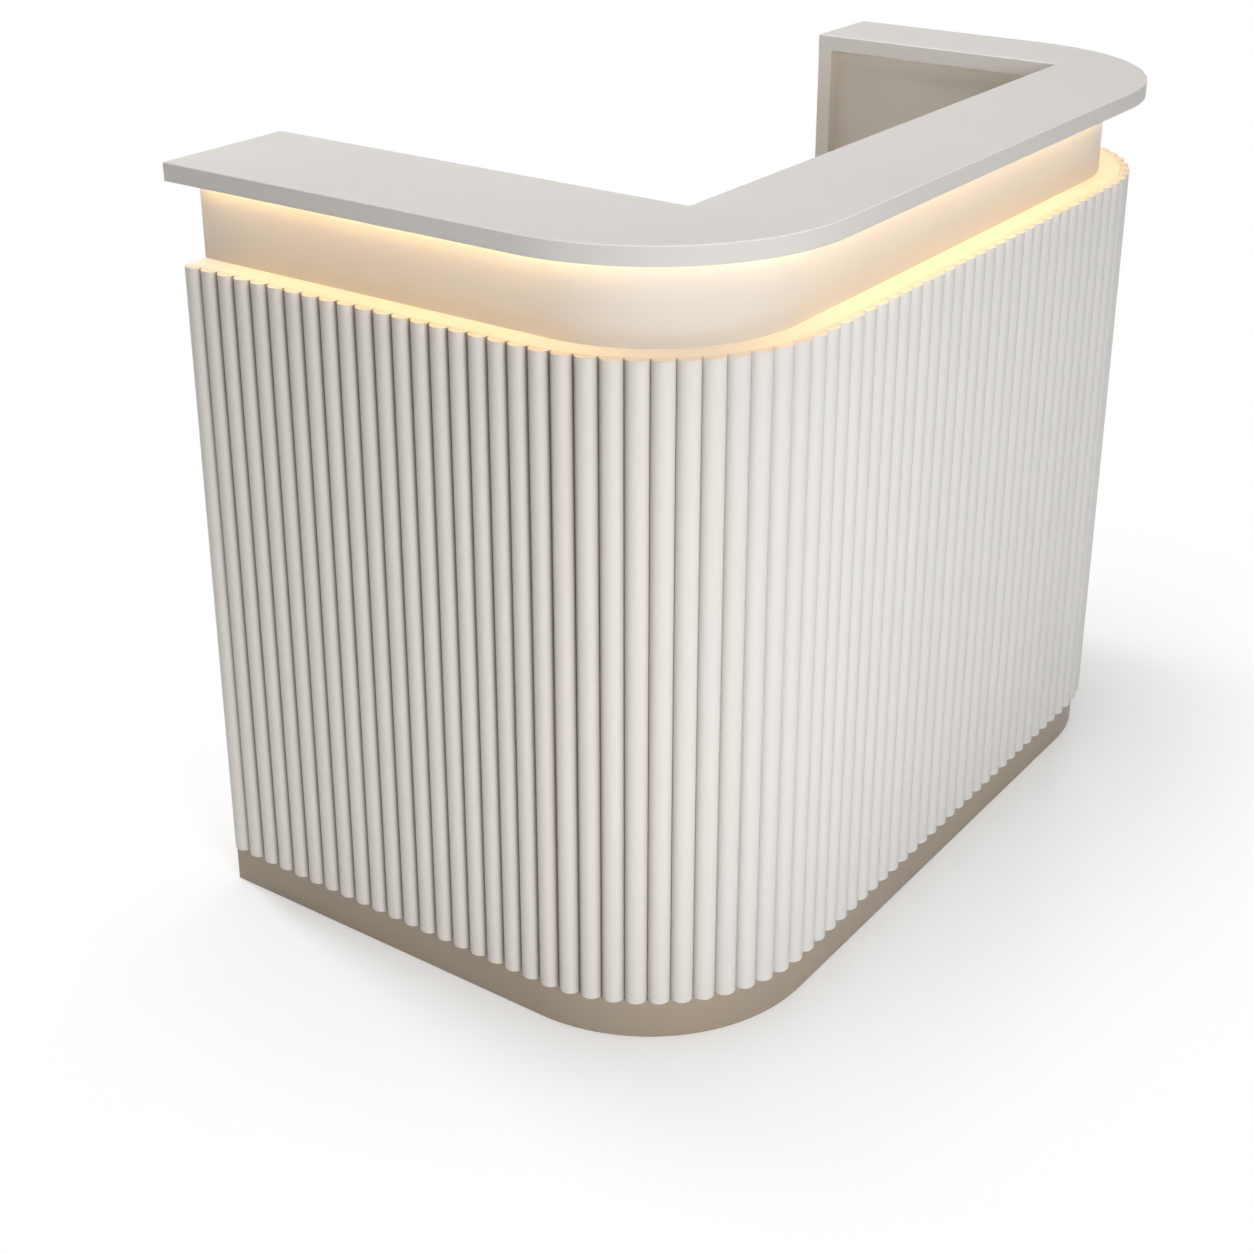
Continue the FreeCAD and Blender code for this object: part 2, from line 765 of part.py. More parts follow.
def about(middle, width):
    return (middle - width / 2, middle + width / 2)


def edges_along(shape, axis):
    """Numbers of the straight edges that run along one axis."""
    numbers = []
    for number, edge in enumerate(shape.Edges, start=1):
        run = edge.Vertexes[1].Point - edge.Vertexes[0].Point
        if abs(abs(run.dot(axis)) - run.Length) < TOLERANCE:
            numbers.append(number)
    return numbers


def rounded_box(name, x, y, z, radius):
    """A box with its four edges along Y rounded."""
    block = box(f"{name}_block", x, y, z)
    doc.recompute()
    item = doc.addObject("Part::Fillet", name)
    item.Base = block
    item.Edges = [(number, radius, radius) for number in edges_along(block.Shape, FreeCAD.Vector(0, 1, 0))]
    return item


case_block = rounded_box("power_case_block", unit_x, unit_y, unit_z, DRIVING["unit_round"])
case_hollow = box("power_case_hollow", (unit_x[0] + wall, unit_x[1] - wall), (unit_y[0], unit_y[1] - wall),
                  (unit_z[0] + wall, unit_z[1] - wall))
slack = size("cutout_gap") * 2
inlet_cutout = box("inlet_cutout", about(inlet_x, size("inlet_width") + slack), (unit_y[0], unit_y[1]),
                   about(driver_middle, size("inlet_height") + slack))
switch_cutout = box("switch_cutout", about(switch_x, size("switch_width") + slack), (unit_y[0], unit_y[1]),
                    about(driver_middle, size("switch_height") + slack))
node(cut("power_case", case_block, [case_hollow, inlet_cutout, switch_cutout]), "power_case")

margin = size("driver_margin")
node(rounded_box("led_driver", (unit_x[0] + margin, unit_x[1] - margin),
                 (lining_front, lining_front + size("driver_depth")),
                 (unit_z[0] + margin, unit_z[1] - margin), DRIVING["driver_round"]), "led_driver")


def mains_inlet():
    """A three-pin appliance inlet: flange, shroud and pins."""
    face = unit_y[1]
    back = face - size("inlet_depth")
    front = face + size("inlet_flange")
    flange = box("inlet_flange_plate", about(inlet_x, size("inlet_width") + size("inlet_rim") * 2),
                 (face, front), about(driver_middle, size("inlet_height") + size("inlet_rim") * 2))
    shroud = box("inlet_shroud", about(inlet_x, size("inlet_width")), (back, face),
                 about(driver_middle, size("inlet_height")))
    well = box("inlet_well", about(inlet_x, size("inlet_width") - size("inlet_wall") * 2),
               (back + size("inlet_wall"), front),
               about(driver_middle, size("inlet_height") - size("inlet_wall") * 2))
    body = cut("inlet_body", fused("inlet_blank", [flange, shroud]), [well])
    pin_y = (back, back + size("inlet_wall") + size("pin_length"))
    spots = ((-1, zero), (0, size("earth_pin_rise")), (1, zero))
    pins = [
        box(f"inlet_pin_{index}", about(inlet_x + size("pin_spacing") * across, size("pin_wide")), pin_y,
            about(driver_middle - size("pin_drop") + rise, size("pin_tall")))
        for index, (across, rise) in enumerate(spots)
    ]
    return fused("mains_inlet", [body, *pins])


node(mains_inlet(), "mains_inlet")

pivot_y = unit_y[1] - size("pivot_depth") + size("switch_flange")


def switch_frame():
    """The fixed part of the switch: a flange on the case and an open housing behind it."""
    face = unit_y[1]
    back = face - size("switch_depth")
    front = face + size("switch_flange")
    flange = box("switch_flange_plate", about(switch_x, size("switch_width") + size("switch_rim") * 2),
                 (face, front), about(driver_middle, size("switch_height") + size("switch_rim") * 2))
    housing = box("switch_housing", about(switch_x, size("switch_width")), (back, face),
                  about(driver_middle, size("switch_height")))
    well = box("switch_well", about(switch_x, size("switch_width") - size("switch_wall") * 2),
               (back + size("switch_wall"), front),
               about(driver_middle, size("switch_height") - size("switch_wall") * 2))
    bore = cross_rod("switch_pivot_bore", size("trunnion_radius") + size("trunnion_gap"), "X",
                     size("switch_width"), switch_x - size("switch_width") / 2, pivot_y, driver_middle)
    return cut("switch_frame", fused("switch_blank", [flange, housing]), [well, bore])


node(switch_frame(), "switch_frame")


def switch_rocker():
    """The moving part of the switch, drawn about its pivot and tipped to the lit position."""
    lift = size("rocker_drawn_at")
    reach = size("rocker_reach")
    crest = size("rocker_crest")
    outline = [
        (lift - size("rocker_depth"), lift - size("rocker_foot")),
        (lift + size("rocker_dip"), lift - reach),
        (lift + crest, lift - reach),
        (lift + size("rocker_dip"), lift),
        (lift + crest, lift + reach),
        (lift + size("rocker_dip"), lift + reach),
        (lift - size("rocker_depth"), lift + size("rocker_foot")),
    ]
    body = doc.addObject("PartDesign::Body", "rocker_block")
    sketch = sketch_on(body, "rocker_outline", "YZ_Plane")
    polygon(sketch, outline)
    pad = padded(body, sketch, size("rocker_width"))
    pad.SideType = "Symmetric"
    body.Placement.Base = FreeCAD.Vector(0, -lift.value, -lift.value)
    trunnion = doc.addObject("Part::Cylinder", "rocker_trunnion")
    trunnion.Placement.Rotation = FreeCAD.Rotation(FreeCAD.Vector(0, 1, 0), 90)
    bind(trunnion, "Radius", size("trunnion_radius"))
    bind(trunnion, "Height", size("trunnion_half") * 2)
    bind(trunnion, "Placement.Base.x", as_size(0) - size("trunnion_half"))
    item = fused("switch_rocker", [body, trunnion])
    item.Placement.Rotation = FreeCAD.Rotation(FreeCAD.Vector(1, 0, 0), DRIVING["rocker_tilt"])
    bind(item, "Placement.Rotation.Angle", size("rocker_tilt"))
    return place(item, switch_x, pivot_y, driver_middle)


node(switch_rocker(), "switch_rocker")

doc.recompute()
failed = [item.Name for item in doc.Objects if "Invalid" in item.State or "Error" in item.State]
if failed:
    raise RuntimeError(f"objects that failed to build: {failed}")
lead_volume = math.pi * DRIVING["lead_radius"] ** 2 * route.Length
print(f"lead: {route.Length:.1f} mm long, volume {led_lead.Shape.Volume:.1f} of {lead_volume:.1f} mm3")
for label, item in NODES.items():
    if item.Shape.isNull() or not item.Shape.isValid():
        raise RuntimeError(f"{label} has no valid shape")

os.makedirs("parts", exist_ok=True)
for label, item in NODES.items():
    item.Shape.exportStep(f"parts/{label}.step")
whole = Part.makeCompound([item.Shape for item in NODES.values()]).optimalBoundingBox(True, False)
print(f"{len(NODES)} sub-parts, {whole.XLength:.1f} x {whole.YLength:.1f} x {whole.ZLength:.1f} mm")
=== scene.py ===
# %% [markdown]
# A reception desk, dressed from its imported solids.
# The real desk is a U of painted boards: a fluted wall on a plinth, a lit recess and a slab counter on top.
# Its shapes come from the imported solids, so every piece made here sits where a solid says, in metres.
# The order is a workshop's: finishes, slats, boards, small fittings, light, and then the picture.

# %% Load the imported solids
import json
import math

import bmesh
import bpy
from mathutils import Matrix, Vector


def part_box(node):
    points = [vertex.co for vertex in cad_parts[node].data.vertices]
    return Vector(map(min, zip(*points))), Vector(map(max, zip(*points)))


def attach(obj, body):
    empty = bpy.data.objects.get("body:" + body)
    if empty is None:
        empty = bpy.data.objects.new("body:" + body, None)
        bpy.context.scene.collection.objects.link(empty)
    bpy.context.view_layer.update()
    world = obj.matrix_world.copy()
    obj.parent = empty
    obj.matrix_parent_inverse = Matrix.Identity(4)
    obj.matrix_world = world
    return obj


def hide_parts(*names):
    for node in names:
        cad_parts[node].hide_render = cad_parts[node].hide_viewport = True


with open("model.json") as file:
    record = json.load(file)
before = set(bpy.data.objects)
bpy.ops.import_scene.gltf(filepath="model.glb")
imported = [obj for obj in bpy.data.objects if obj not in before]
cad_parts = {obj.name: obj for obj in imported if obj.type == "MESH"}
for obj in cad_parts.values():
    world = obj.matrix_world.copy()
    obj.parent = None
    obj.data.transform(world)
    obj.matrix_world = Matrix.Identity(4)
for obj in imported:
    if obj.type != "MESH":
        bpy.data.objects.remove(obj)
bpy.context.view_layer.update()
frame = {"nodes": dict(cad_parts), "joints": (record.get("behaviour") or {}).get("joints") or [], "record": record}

nodes = frame["nodes"]

# %% [markdown]
# Colours are easiest to judge as a screen shows them, but a shader works with linear light.
# Nodes could be wired by hand in the editor, but a script that wires them can be read and repeated.
# So the first helpers turn screen colours into linear ones, and add a node with all its inputs in one line.

# %% Helpers for colours and nodes


def screen(red, green, blue):
    """A colour as a screen shows it, 0 to 255, turned into the linear colour that a shader uses."""
    parts = [value / 255 for value in (red, green, blue)]
    linear = [part / 12.92 if part <= 0.04045 else ((part + 0.055) / 1.055) ** 2.4 for part in parts]
    return (*linear, 1.0)


def shaded(colour, factor):
    """The same colour, lighter or darker."""
    return (*(min(1.0, part * factor) for part in colour[:3]), 1.0)


class Wiring:
    """A node tree, and short ways to add nodes to it and link them."""

    def __init__(self, tree):
        self.tree = tree

    def link(self, output, socket):
        self.tree.links.new(output, socket)

    def add(self, kind, inputs=None, **settings):
        """Adds a node with its settings, and sets its inputs or links them to other nodes."""
        made = self.tree.nodes.new(kind)
        for name, value in settings.items():
            setattr(made, name, value)
        for name, value in (inputs or {}).items():
            if isinstance(value, bpy.types.NodeSocket):
                self.link(value, made.inputs[name])
            else:
                made.inputs[name].default_value = value
        return made

    def math(self, operation, first, second=0.0):
        return self.add("ShaderNodeMath", {0: first, 1: second}, operation=operation).outputs[0]

    def parts(self, vector):
        return self.add("ShaderNodeSeparateXYZ", {"Vector": vector}).outputs


print("colour and node helpers ready")

# %% [markdown]
# A painted board is never one flat colour: spray leaves broad clouds, fine orange peel and a changing sheen.
# A picture texture could show that, but noise on Object coordinates is in metres and needs no unwrapping.
# The class below keeps each finish to a few lines: a colour, a noise, a range and a bump.

# %% Helpers for finishes

finishes = {}


class Finish(Wiring):
    """A material with one Principled shader, kept by its name, and short ways to vary what it shows."""

    def __init__(self, name, **constants):
        material = bpy.data.materials.new(name)
        material.use_nodes = True
        super().__init__(material.node_tree)
        self.shader = self.tree.nodes["Principled BSDF"]
        for socket, value in constants.items():
            self.shader.inputs[socket.replace("_", " ")].default_value = value
        finishes[name] = material

    def where(self):
        return self.add("ShaderNodeTexCoord").outputs["Object"]

    def place(self, axis):
        """How far along X, Y or Z a point lies, in metres."""
        return self.parts(self.where())[axis]

    def noise(self, cell, detail=2.0, stretch=(1, 1, 1)):
        """Noise whose cells are about as wide as cell, in metres, stretched by the three factors."""
        scale = [1 / (cell * factor) for factor in stretch]
        mapped = self.add("ShaderNodeMapping", {"Vector": self.where(), "Scale": scale}).outputs["Vector"]
        inputs = {"Vector": mapped, "Scale": 1.0, "Detail": detail}
        return self.add("ShaderNodeTexNoise", inputs).outputs["Fac"]

    def attribute(self, name):
        return self.add("ShaderNodeAttribute", attribute_name=name).outputs["Fac"]

    def ranged(self, factor, low, high, from_low=0.3, from_high=0.7):
        """Moves a factor to another range; unless told, it comes from where most of a noise lies."""
        inputs = {
            "Value": factor, "From Min": from_low, "From Max": from_high, "To Min": low, "To Max": high,
        }
        return self.add("ShaderNodeMapRange", inputs).outputs["Result"]

    def mixed(self, factor, first, second):
        """One colour where the factor is 0, and another where it is 1."""
        return self.add("ShaderNodeMix", {0: factor, 6: first, 7: second}, data_type="RGBA").outputs[2]

    def into(self, socket, value):
        self.link(value, self.shader.inputs[socket])

    def bump(self, height, depth):
        """Raises the surface by up to depth metres where height is 1; bumps add up."""
        inputs = {"Height": height, "Distance": depth}
        normal = self.shader.inputs["Normal"]
        if normal.is_linked:
            inputs["Normal"] = normal.links[0].from_socket
        self.into("Normal", self.add("ShaderNodeBump", inputs).outputs["Normal"])


print("finish helpers ready")

# %% [markdown]
# Sprayed satin lacquer covers nearly all that shows: counter, recess, ledge, plinth and the staff side.
# Each colour could get a recipe of its own, but on the real desk it is one process with different paints.
# Broad clouds shift the colour by a few percent, finer noise moves the sheen, and a 2 mm peel bends light.

# %% Satin lacquer on board

cloud_size, sheen_size, peel_size = 0.30, 0.025, 0.0022
peel_depth = 0.00002
hard_sheen, taupe_sheen = (0.42, 0.52), (0.32, 0.44)


def satin_lacquer(name, colour, clouds=0.025, sheen=(0.36, 0.46)):
    """Sprayed paint; its clouds are a share of the colour, and its sheen is a range of roughness."""
    finish = Finish(name)
    cloud = finish.ranged(finish.noise(cloud_size, detail=3.0), 0.0, 1.0)
    finish.into("Base Color", finish.mixed(cloud, shaded(colour, 1 - clouds), shaded(colour, 1 + clouds)))
    finish.into("Roughness", finish.ranged(finish.noise(sheen_size), *sheen))
    finish.bump(finish.noise(peel_size, detail=1.0), peel_depth)
    return finish


counter_finish = satin_lacquer("counter_satin", screen(221, 217, 212), sheen=hard_sheen)
satin_lacquer("neck_satin", screen(226, 219, 210))
satin_lacquer("ledge_satin", screen(243, 241, 237))
satin_lacquer("plinth_taupe", screen(168, 154, 136), clouds=0.05, sheen=taupe_sheen)
satin_lacquer("lining_greige", screen(225, 218, 208), clouds=0.04)
satin_lacquer("worktop_satin", screen(214, 209, 202), sheen=hard_sheen)
print(f"lacquers: {', '.join(finishes)}")

# %% [markdown]
# The counter's rounded arris is painted lighter than the slab as a highlight, and it is given a smoother sheen.
# A second material could show it, but then both would have to be kept in step.
# Here the same finish reads an attribute, which the counter's own piece sets to 1 on the arris.

# %% Painted highlight and smoother sheen on the counter's arris

arris_painted_highlight, arris_sheen = screen(243, 240, 236), (0.3, 0.3, 0.3, 1.0)
arris_highlight_mask = counter_finish.attribute("arris")
# Painted highlight: the arris gets a lighter colour, besides its lower roughness.
for socket, highlight_and_polish in (("Base Color", arris_painted_highlight), ("Roughness", arris_sheen)):
    plain = counter_finish.shader.inputs[socket].links[0].from_socket
    counter_finish.into(socket, counter_finish.mixed(arris_highlight_mask, plain, highlight_and_polish))
print("counter finish reads the attribute arris")

# %% [markdown]
# The slats wear nearly the same off-white paint, and no two take it quite alike.
# The slat tree, made later, gives each slat a tone of its own, which shifts the paint by a percent or two.
# The sides get a warmer, slightly darker white than the front, which is painted shade.

# %% Slat paint, with painted shade on the sides

front_white, side_white_painted_shade = screen(233, 231, 228), screen(232, 227, 220)
front_end, side_start = 0.45, 0.69
tone_low, tone_high = 0.98, 1.01
slat_finish = Finish("fluted_white")
slat_tone = slat_finish.ranged(slat_finish.attribute("tone"), 0.0, 1.0, -1.0, 1.0)


def toned(white):
    return slat_finish.mixed(slat_tone, shaded(white, tone_low), shaded(white, tone_high))


# Painted shade: away from the middle, the white turns warmer and darker on the side walls.
from_middle = slat_finish.math("ABSOLUTE", slat_finish.place("X"))
side_shade_mask = slat_finish.ranged(from_middle, 0.0, 1.0, front_end, side_start)
paint_and_side_shade = slat_finish.mixed(side_shade_mask, toned(front_white), toned(side_white_painted_shade))
print(f"slat paint changes between {front_end} and {side_start} m from the middle")

# %% [markdown]
# The grooves between the slats are painted darker, a brown that stands in for the shade that falls there.
# It is strongest on the sides, and there on the rear flanks, which face away from the light.
# The shade is painted in, and two more attributes of the slat tree say where the grooves are.
# Across runs over a slat's width, from -1 in one groove by 0 at the crest to 1 in the other.
# Rearward is -1 on the left wall, 0 on the front and 1 on the right, and times across it marks rear flanks.
# The slat that ends a row stands free to the rear, has no groove there to shade, and so has a rearward of 0 too.

# %% Painted shade in the grooves of the slats

groove_painted_shade = screen(118, 100, 81)
side_groove_shade, front_groove_shade = 0.9, 0.08
groove_start, groove_end = 0.40, 0.95
groove_curve, side_curve = 2.2, 9.0
rear_flank_shade_lean = 0.14
across_slat, rear_side = slat_finish.attribute("across"), slat_finish.attribute("rearward")
rear_flank = slat_finish.math("MULTIPLY", across_slat, rear_side)
lean = slat_finish.math("MULTIPLY", rear_flank, rear_flank_shade_lean)
from_crest = slat_finish.math("ADD", slat_finish.math("ABSOLUTE", across_slat), lean)
groove_depth = slat_finish.ranged(from_crest, 0.0, 1.0, groove_start, groove_end)
in_groove = slat_finish.math("POWER", groove_depth, groove_curve)
sideways = slat_finish.math("POWER", slat_finish.math("ABSOLUTE", rear_side), side_curve)
groove_shade_share = slat_finish.ranged(sideways, front_groove_shade, side_groove_shade, 0.0, 1.0)
# Painted shade: the groove brown is mixed in where shade falls between the slats.
groove_shade_mask = slat_finish.math("MULTIPLY", in_groove, groove_shade_share)
slat_finish.into("Base Color", slat_finish.mixed(groove_shade_mask, paint_and_side_shade, groove_painted_shade))
print("slat finish reads tone, across and rearward")

# %% [markdown]
# Each slat was sanded and sprayed along its length, so its sheen and its finest lines run upright.
# Stretching the noise along Z gives that, and a second bump adds the same peel as on the boards.

# %% Sheen and lines of the slats

upright_sheen, upright_lines = (1, 1, 12), (1, 1, 60)
sanded = slat_finish.noise(0.012, stretch=upright_sheen)
slat_finish.into("Roughness", slat_finish.ranged(sanded, 0.36, 0.48))
slat_finish.bump(slat_finish.noise(0.0009, stretch=upright_lines), 0.000015)
slat_finish.bump(slat_finish.noise(0.0025, detail=1.0), peel_depth)
print(f"slat finish has {len(slat_finish.tree.nodes)} nodes")

# %% [markdown]
# Inside and below are bare materials: fibreboard, plated metal, moulded plastics and a rubbery lead.
# Fibreboard is a felt of short fibres, so two noises of very different cell sizes are mixed.
# Plating is a metal with a patchy sheen, and moulded plastic has a fine spark-eroded grain.

# %% Bare fibreboard, metal, plastics and lead


def fibreboard(name, light, dark):
    finish = Finish(name, Roughness=0.85)
    felt = finish.noise(0.0012, detail=4.0)
    patches = finish.noise(0.06, detail=2.0)
    speckle = finish.mixed(finish.ranged(felt, 0.0, 1.0), dark, light)
    finish.into("Base Color", finish.mixed(finish.ranged(patches, 0.0, 0.25), speckle, dark))
    finish.bump(felt, 0.00006)


def plated(name, colour):
    finish = Finish(name, Metallic=1.0)
    patches = finish.noise(0.004, detail=3.0)
    finish.into("Base Color", finish.mixed(finish.ranged(patches, 0.0, 1.0), shaded(colour, 0.88), colour))
    finish.into("Roughness", finish.ranged(finish.noise(0.0015), 0.26, 0.42))


def moulded(name, colour, sheen, grain):
    finish = Finish(name)
    spark = finish.noise(0.0006, detail=1.0)
    flow = finish.ranged(finish.noise(0.02), 0.0, 1.0)
    finish.into("Base Color", finish.mixed(flow, shaded(colour, 0.94), colour))
    finish.into("Roughness", finish.ranged(spark, *sheen))
    finish.bump(spark, grain)


fibreboard("raw_board", screen(186, 156, 120), screen(150, 120, 86))
plated("zinc_steel", screen(206, 206, 208))
plated("brass_pin", screen(212, 182, 120))
moulded("case_plastic", screen(206, 204, 199), (0.45, 0.60), 0.00004)
moulded("fitting_black", screen(34, 34, 36), (0.22, 0.34), 0.00001)
moulded("lead_sheath", screen(30, 30, 30), (0.50, 0.65), 0.00002)
moulded("light_strip", screen(238, 230, 204), (0.35, 0.50), 0.00001)
print("bare materials: board, zinc, brass, case, black fittings, lead, strip")

# %% [markdown]
# The opal bar under the counter is the lamp: silicone that glows warm white over its whole face.
# Light could be painted on the recess, but a bar that really shines lights recess and ledge by itself.
# Close to the bar the recess is almost white, and further down it turns beige, as light from a strip does.
# Two lengths of strip meet in the front left bend, and their ends have no chips, so the bar is dimmer there.

# %% Opal light bar

lamp_warm = screen(255, 212, 144)
lamp_glow, join_glow = 18.6, 0.42
opal = Finish("opal_bar", Roughness=0.55, Emission_Strength=lamp_glow)
milkiness = opal.ranged(opal.noise(0.016), 0.0, 1.0)
opal.into("Base Color", opal.mixed(milkiness, screen(244, 236, 216), screen(250, 244, 230)))

left_low, left_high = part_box("skin_corner_left")
bend_radius = left_high.x - left_low.x
past_front_run = opal.math("SUBTRACT", left_high.x, opal.place("X"))
past_left_run = opal.math("SUBTRACT", left_high.y, opal.place("Y"))
into_bend = opal.math("MINIMUM", past_front_run, past_left_run)
at_join = opal.ranged(into_bend, 0.0, 1.0, 0.0, bend_radius / 2)
even_glow = opal.mixed(milkiness, shaded(lamp_warm, 0.96), lamp_warm)
opal.into("Emission Color", opal.mixed(at_join, even_glow, shaded(lamp_warm, join_glow)))
print(f"opal bar glows at {lamp_glow}, and at {join_glow} of that where two strips meet")

# %% [markdown]
# A workshop list says which board gets which paint, and the record of the solids is such a list.
# Finishes could be handed out by hand, but the record's slots keep the names alike on both sides.

# %% Give each solid its finish

slot_of = {part["node"]: part["material_slot"] for part in frame["record"]["subparts"]}
for name, solid in nodes.items():
    solid.data.materials.clear()
    solid.data.materials.append(finishes[slot_of[name]])
print(f"{len(slot_of)} solids share {len(set(slot_of.values()))} finishes")

# %% [markdown]
# Slats, screws, feet and ribs repeat or follow a path, so they are the job for Geometry Nodes.
# One could copy meshes in Python, but a tree keeps the rule in sight: a path, a count and a shape.
# The class below builds such trees, with named inputs, and runs them into plain meshes.

# %% Helpers for node trees


def in_scene(name, data):
    """A new object in the scene, with its mesh, lamp or camera."""
    made = bpy.data.objects.new(name, data)
    bpy.context.scene.collection.objects.link(made)
    return made


class Tree(Wiring):
    """A Geometry Nodes tree with named inputs, among them always a finish."""

    def __init__(self, name, **inputs):
        super().__init__(bpy.data.node_groups.new(name, "GeometryNodeTree"))
        sockets = self.tree.interface
        sockets.new_socket("Geometry", in_out="OUTPUT", socket_type="NodeSocketGeometry")
        sockets.new_socket("Geometry", in_out="INPUT", socket_type="NodeSocketGeometry")
        self.identifiers = {}
        for label, kind in {**inputs, "finish": "Material"}.items():
            socket = sockets.new_socket(label, in_out="INPUT", socket_type=f"NodeSocket{kind}")
            self.identifiers[label] = socket.identifier
        self.given = self.tree.nodes.new("NodeGroupInput").outputs
        self.result = self.tree.nodes.new("NodeGroupOutput").inputs["Geometry"]

    def vector(self, x=0.0, y=0.0, z=0.0):
        return self.add("ShaderNodeCombineXYZ", {"X": x, "Y": y, "Z": z}).outputs[0]

    def position(self):
        return self.add("GeometryNodeInputPosition").outputs[0]

    def curve(self, mesh):
        return self.add("GeometryNodeMeshToCurve", {"Mesh": mesh}).outputs[0]

    def circle(self, sides, radius):
        inputs = {"Resolution": sides, "Radius": radius}
        return self.add("GeometryNodeCurvePrimitiveCircle", inputs).outputs[0]

    def swept(self, rail, section, scale=1.0):
        """A section drawn along a rail, scaled on the way and closed at both ends."""
        inputs = {"Curve": rail, "Profile Curve": section, "Scale": scale, "Fill Caps": True}
        return self.add("GeometryNodeCurveToMesh", inputs).outputs[0]

    def moved(self, geometry, offset):
        return self.add("GeometryNodeTransform", {"Geometry": geometry, "Translation": offset}).outputs[0]

    def stored(self, geometry, name, value, domain="POINT"):
        """Keeps a value on the geometry under a name, for a finish or another node to read."""
        inputs = {"Geometry": geometry, "Name": name, "Value": value}
        return self.add("GeometryNodeStoreNamedAttribute", inputs, domain=domain).outputs[0]

    def finish(self, instances):
        """Every tree ends alike: real geometry with its finish."""
        real = self.add("GeometryNodeRealizeInstances", {"Geometry": instances}).outputs[0]
        inputs = {"Geometry": real, "Material": self.given["finish"]}
        self.link(self.add("GeometryNodeSetMaterial", inputs).outputs[0], self.result)
        print(f"{self.tree.name}: tree of {len(self.tree.nodes)} nodes")

    def grow(self, name, finish, points, joined=True, **values):
        """Runs the tree on points, joined one after the other or loose, and returns a plain mesh object."""
        edges = [(start, start + 1) for start in range(len(points) - 1)] if joined else []
        base = bpy.data.meshes.new(f"{name}_base")
        base.from_pydata(points, edges, [])
        holder = in_scene(f"{name}_base", base)
        modifier = holder.modifiers.new("grow", "NODES")
        modifier.node_group = self.tree
        for label, value in {**values, "finish": finishes[finish]}.items():
            modifier[self.identifiers[label]] = value
        graph = bpy.context.evaluated_depsgraph_get()
        mesh = bpy.data.meshes.new_from_object(holder.evaluated_get(graph), depsgraph=graph)
        holder.modifiers.remove(modifier)
        bpy.data.objects.remove(holder)
        return shown(name, mesh)


print("tree helpers ready")

# %% [markdown]
# A new mesh is not a piece yet: its faces must point outward, and its round parts must look round.
# Both could be set by hand in Edit Mode, but doing it in one place keeps all pieces alike.
# Each piece also says which body it rides on and which solids it stands for.

# %% Helpers for pieces


def shown(name, mesh, sharp_degrees=35):
    """Puts a mesh in the scene as a piece, with its faces outward, smooth except at its sharp edges."""
    mesh.name = name
    check = bmesh.new()
    check.from_mesh(mesh)
    if check.calc_volume(signed=True) < 0:
        mesh.flip_normals()
    check.free()
    mesh.shade_smooth()
    mesh.set_sharp_from_angle(angle=math.radians(sharp_degrees))
    return in_scene(name, mesh)


def stands_for(piece, body, slot, *solids):
    """The piece rides on a body in place of the solids; its slot is not used."""
    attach(piece, body)
    if solids:
        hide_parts(*solids)
    print(f"{piece.name}: {len(piece.data.polygons)} faces, on {body}")


print("piece helpers ready")

# %% [markdown]
# A slat is a half-round rod, planed flat behind, with its two ends eased by sandpaper.
# It could be half a cylinder, but a half circle swept up a rail is eased by scaling it near the ends.
# The rail has three points at each end, which follow a quarter round, and the scale draws in with them.

# %% Rail of one slat

slats = Tree(
    "half_round_slats", count="Int", free_slat="Int", radius="Float", foot="Float", top="Float",
    eased="Float", seed="Int",
)
given = slats.given
rail_points, end_points = 6, 3
index = slats.add("GeometryNodeInputIndex").outputs[0]
from_end = slats.math("MINIMUM", index, slats.math("SUBTRACT", rail_points - 1.0, index))
quarter = slats.math("MULTIPLY", from_end, math.pi / 4)
inward = slats.math("MULTIPLY", given["eased"], slats.math("SUBTRACT", 1.0, slats.math("COSINE", quarter)))
drawn_in = slats.math("MULTIPLY", given["eased"], slats.math("SUBTRACT", 1.0, slats.math("SINE", quarter)))
upper = slats.math("GREATER_THAN", index, end_points - 0.5)
low_z = slats.math("ADD", given["foot"], inward)
high_z = slats.math("SUBTRACT", given["top"], inward)
slat_rise = slats.math("MULTIPLY", upper, slats.math("SUBTRACT", high_z, low_z))
rail_line = slats.add("GeometryNodeMeshLine", {"Count": rail_points}).outputs[0]
rail_spot = slats.vector(z=slats.math("ADD", low_z, slat_rise))
rail_mesh = slats.add("GeometryNodeSetPosition", {"Geometry": rail_line, "Position": rail_spot}).outputs[0]
rail = slats.curve(rail_mesh)
taper = slats.math("SUBTRACT", 1.0, slats.math("DIVIDE", drawn_in, given["radius"]))
print(f"rail of {rail_points} points")

# %% [markdown]
# The half circle has 21 points, enough for a smooth edge against the light.
# The finish wants to know how far a point lies from the crest, so the slat keeps that under the name across.
# On the two flat ends it is 0, or the painted groove shade would run over the tops.

# %% Sweep of one slat

arc_points, half_turn = 21, math.pi
arc = {
    "Resolution": arc_points, "Radius": given["radius"],
    "Start Angle": half_turn, "Sweep Angle": half_turn, "Connect Center": True,
}
half_circle = slats.add("GeometryNodeCurveArc", arc, mode="RADIUS").outputs["Curve"]
rod = slats.swept(rail, half_circle, taper)
across = slats.math("DIVIDE", slats.parts(slats.position())["X"], given["radius"])
normal = slats.add("GeometryNodeInputNormal").outputs[0]
upright = slats.math("ABSOLUTE", slats.parts(normal)["Z"])
face_upright = slats.add("GeometryNodeFieldOnDomain", {0: upright}, domain="FACE").outputs[0]
on_round = slats.math("MULTIPLY", across, slats.math("LESS_THAN", face_upright, 0.5))
slat = slats.stored(rod, "across", on_round, "CORNER")
print(f"half circle of {arc_points} points")

# %% [markdown]
# The slats stand side by side along a path, so the path is trimmed by half a slat at each end.
# What is left is cut into as many points as there are slats, and each slat turns with the path's tangent.
# A random number with a fixed seed gives each its tone, and the tangent's Y gives the attribute rearward.

# %% Slats along a path

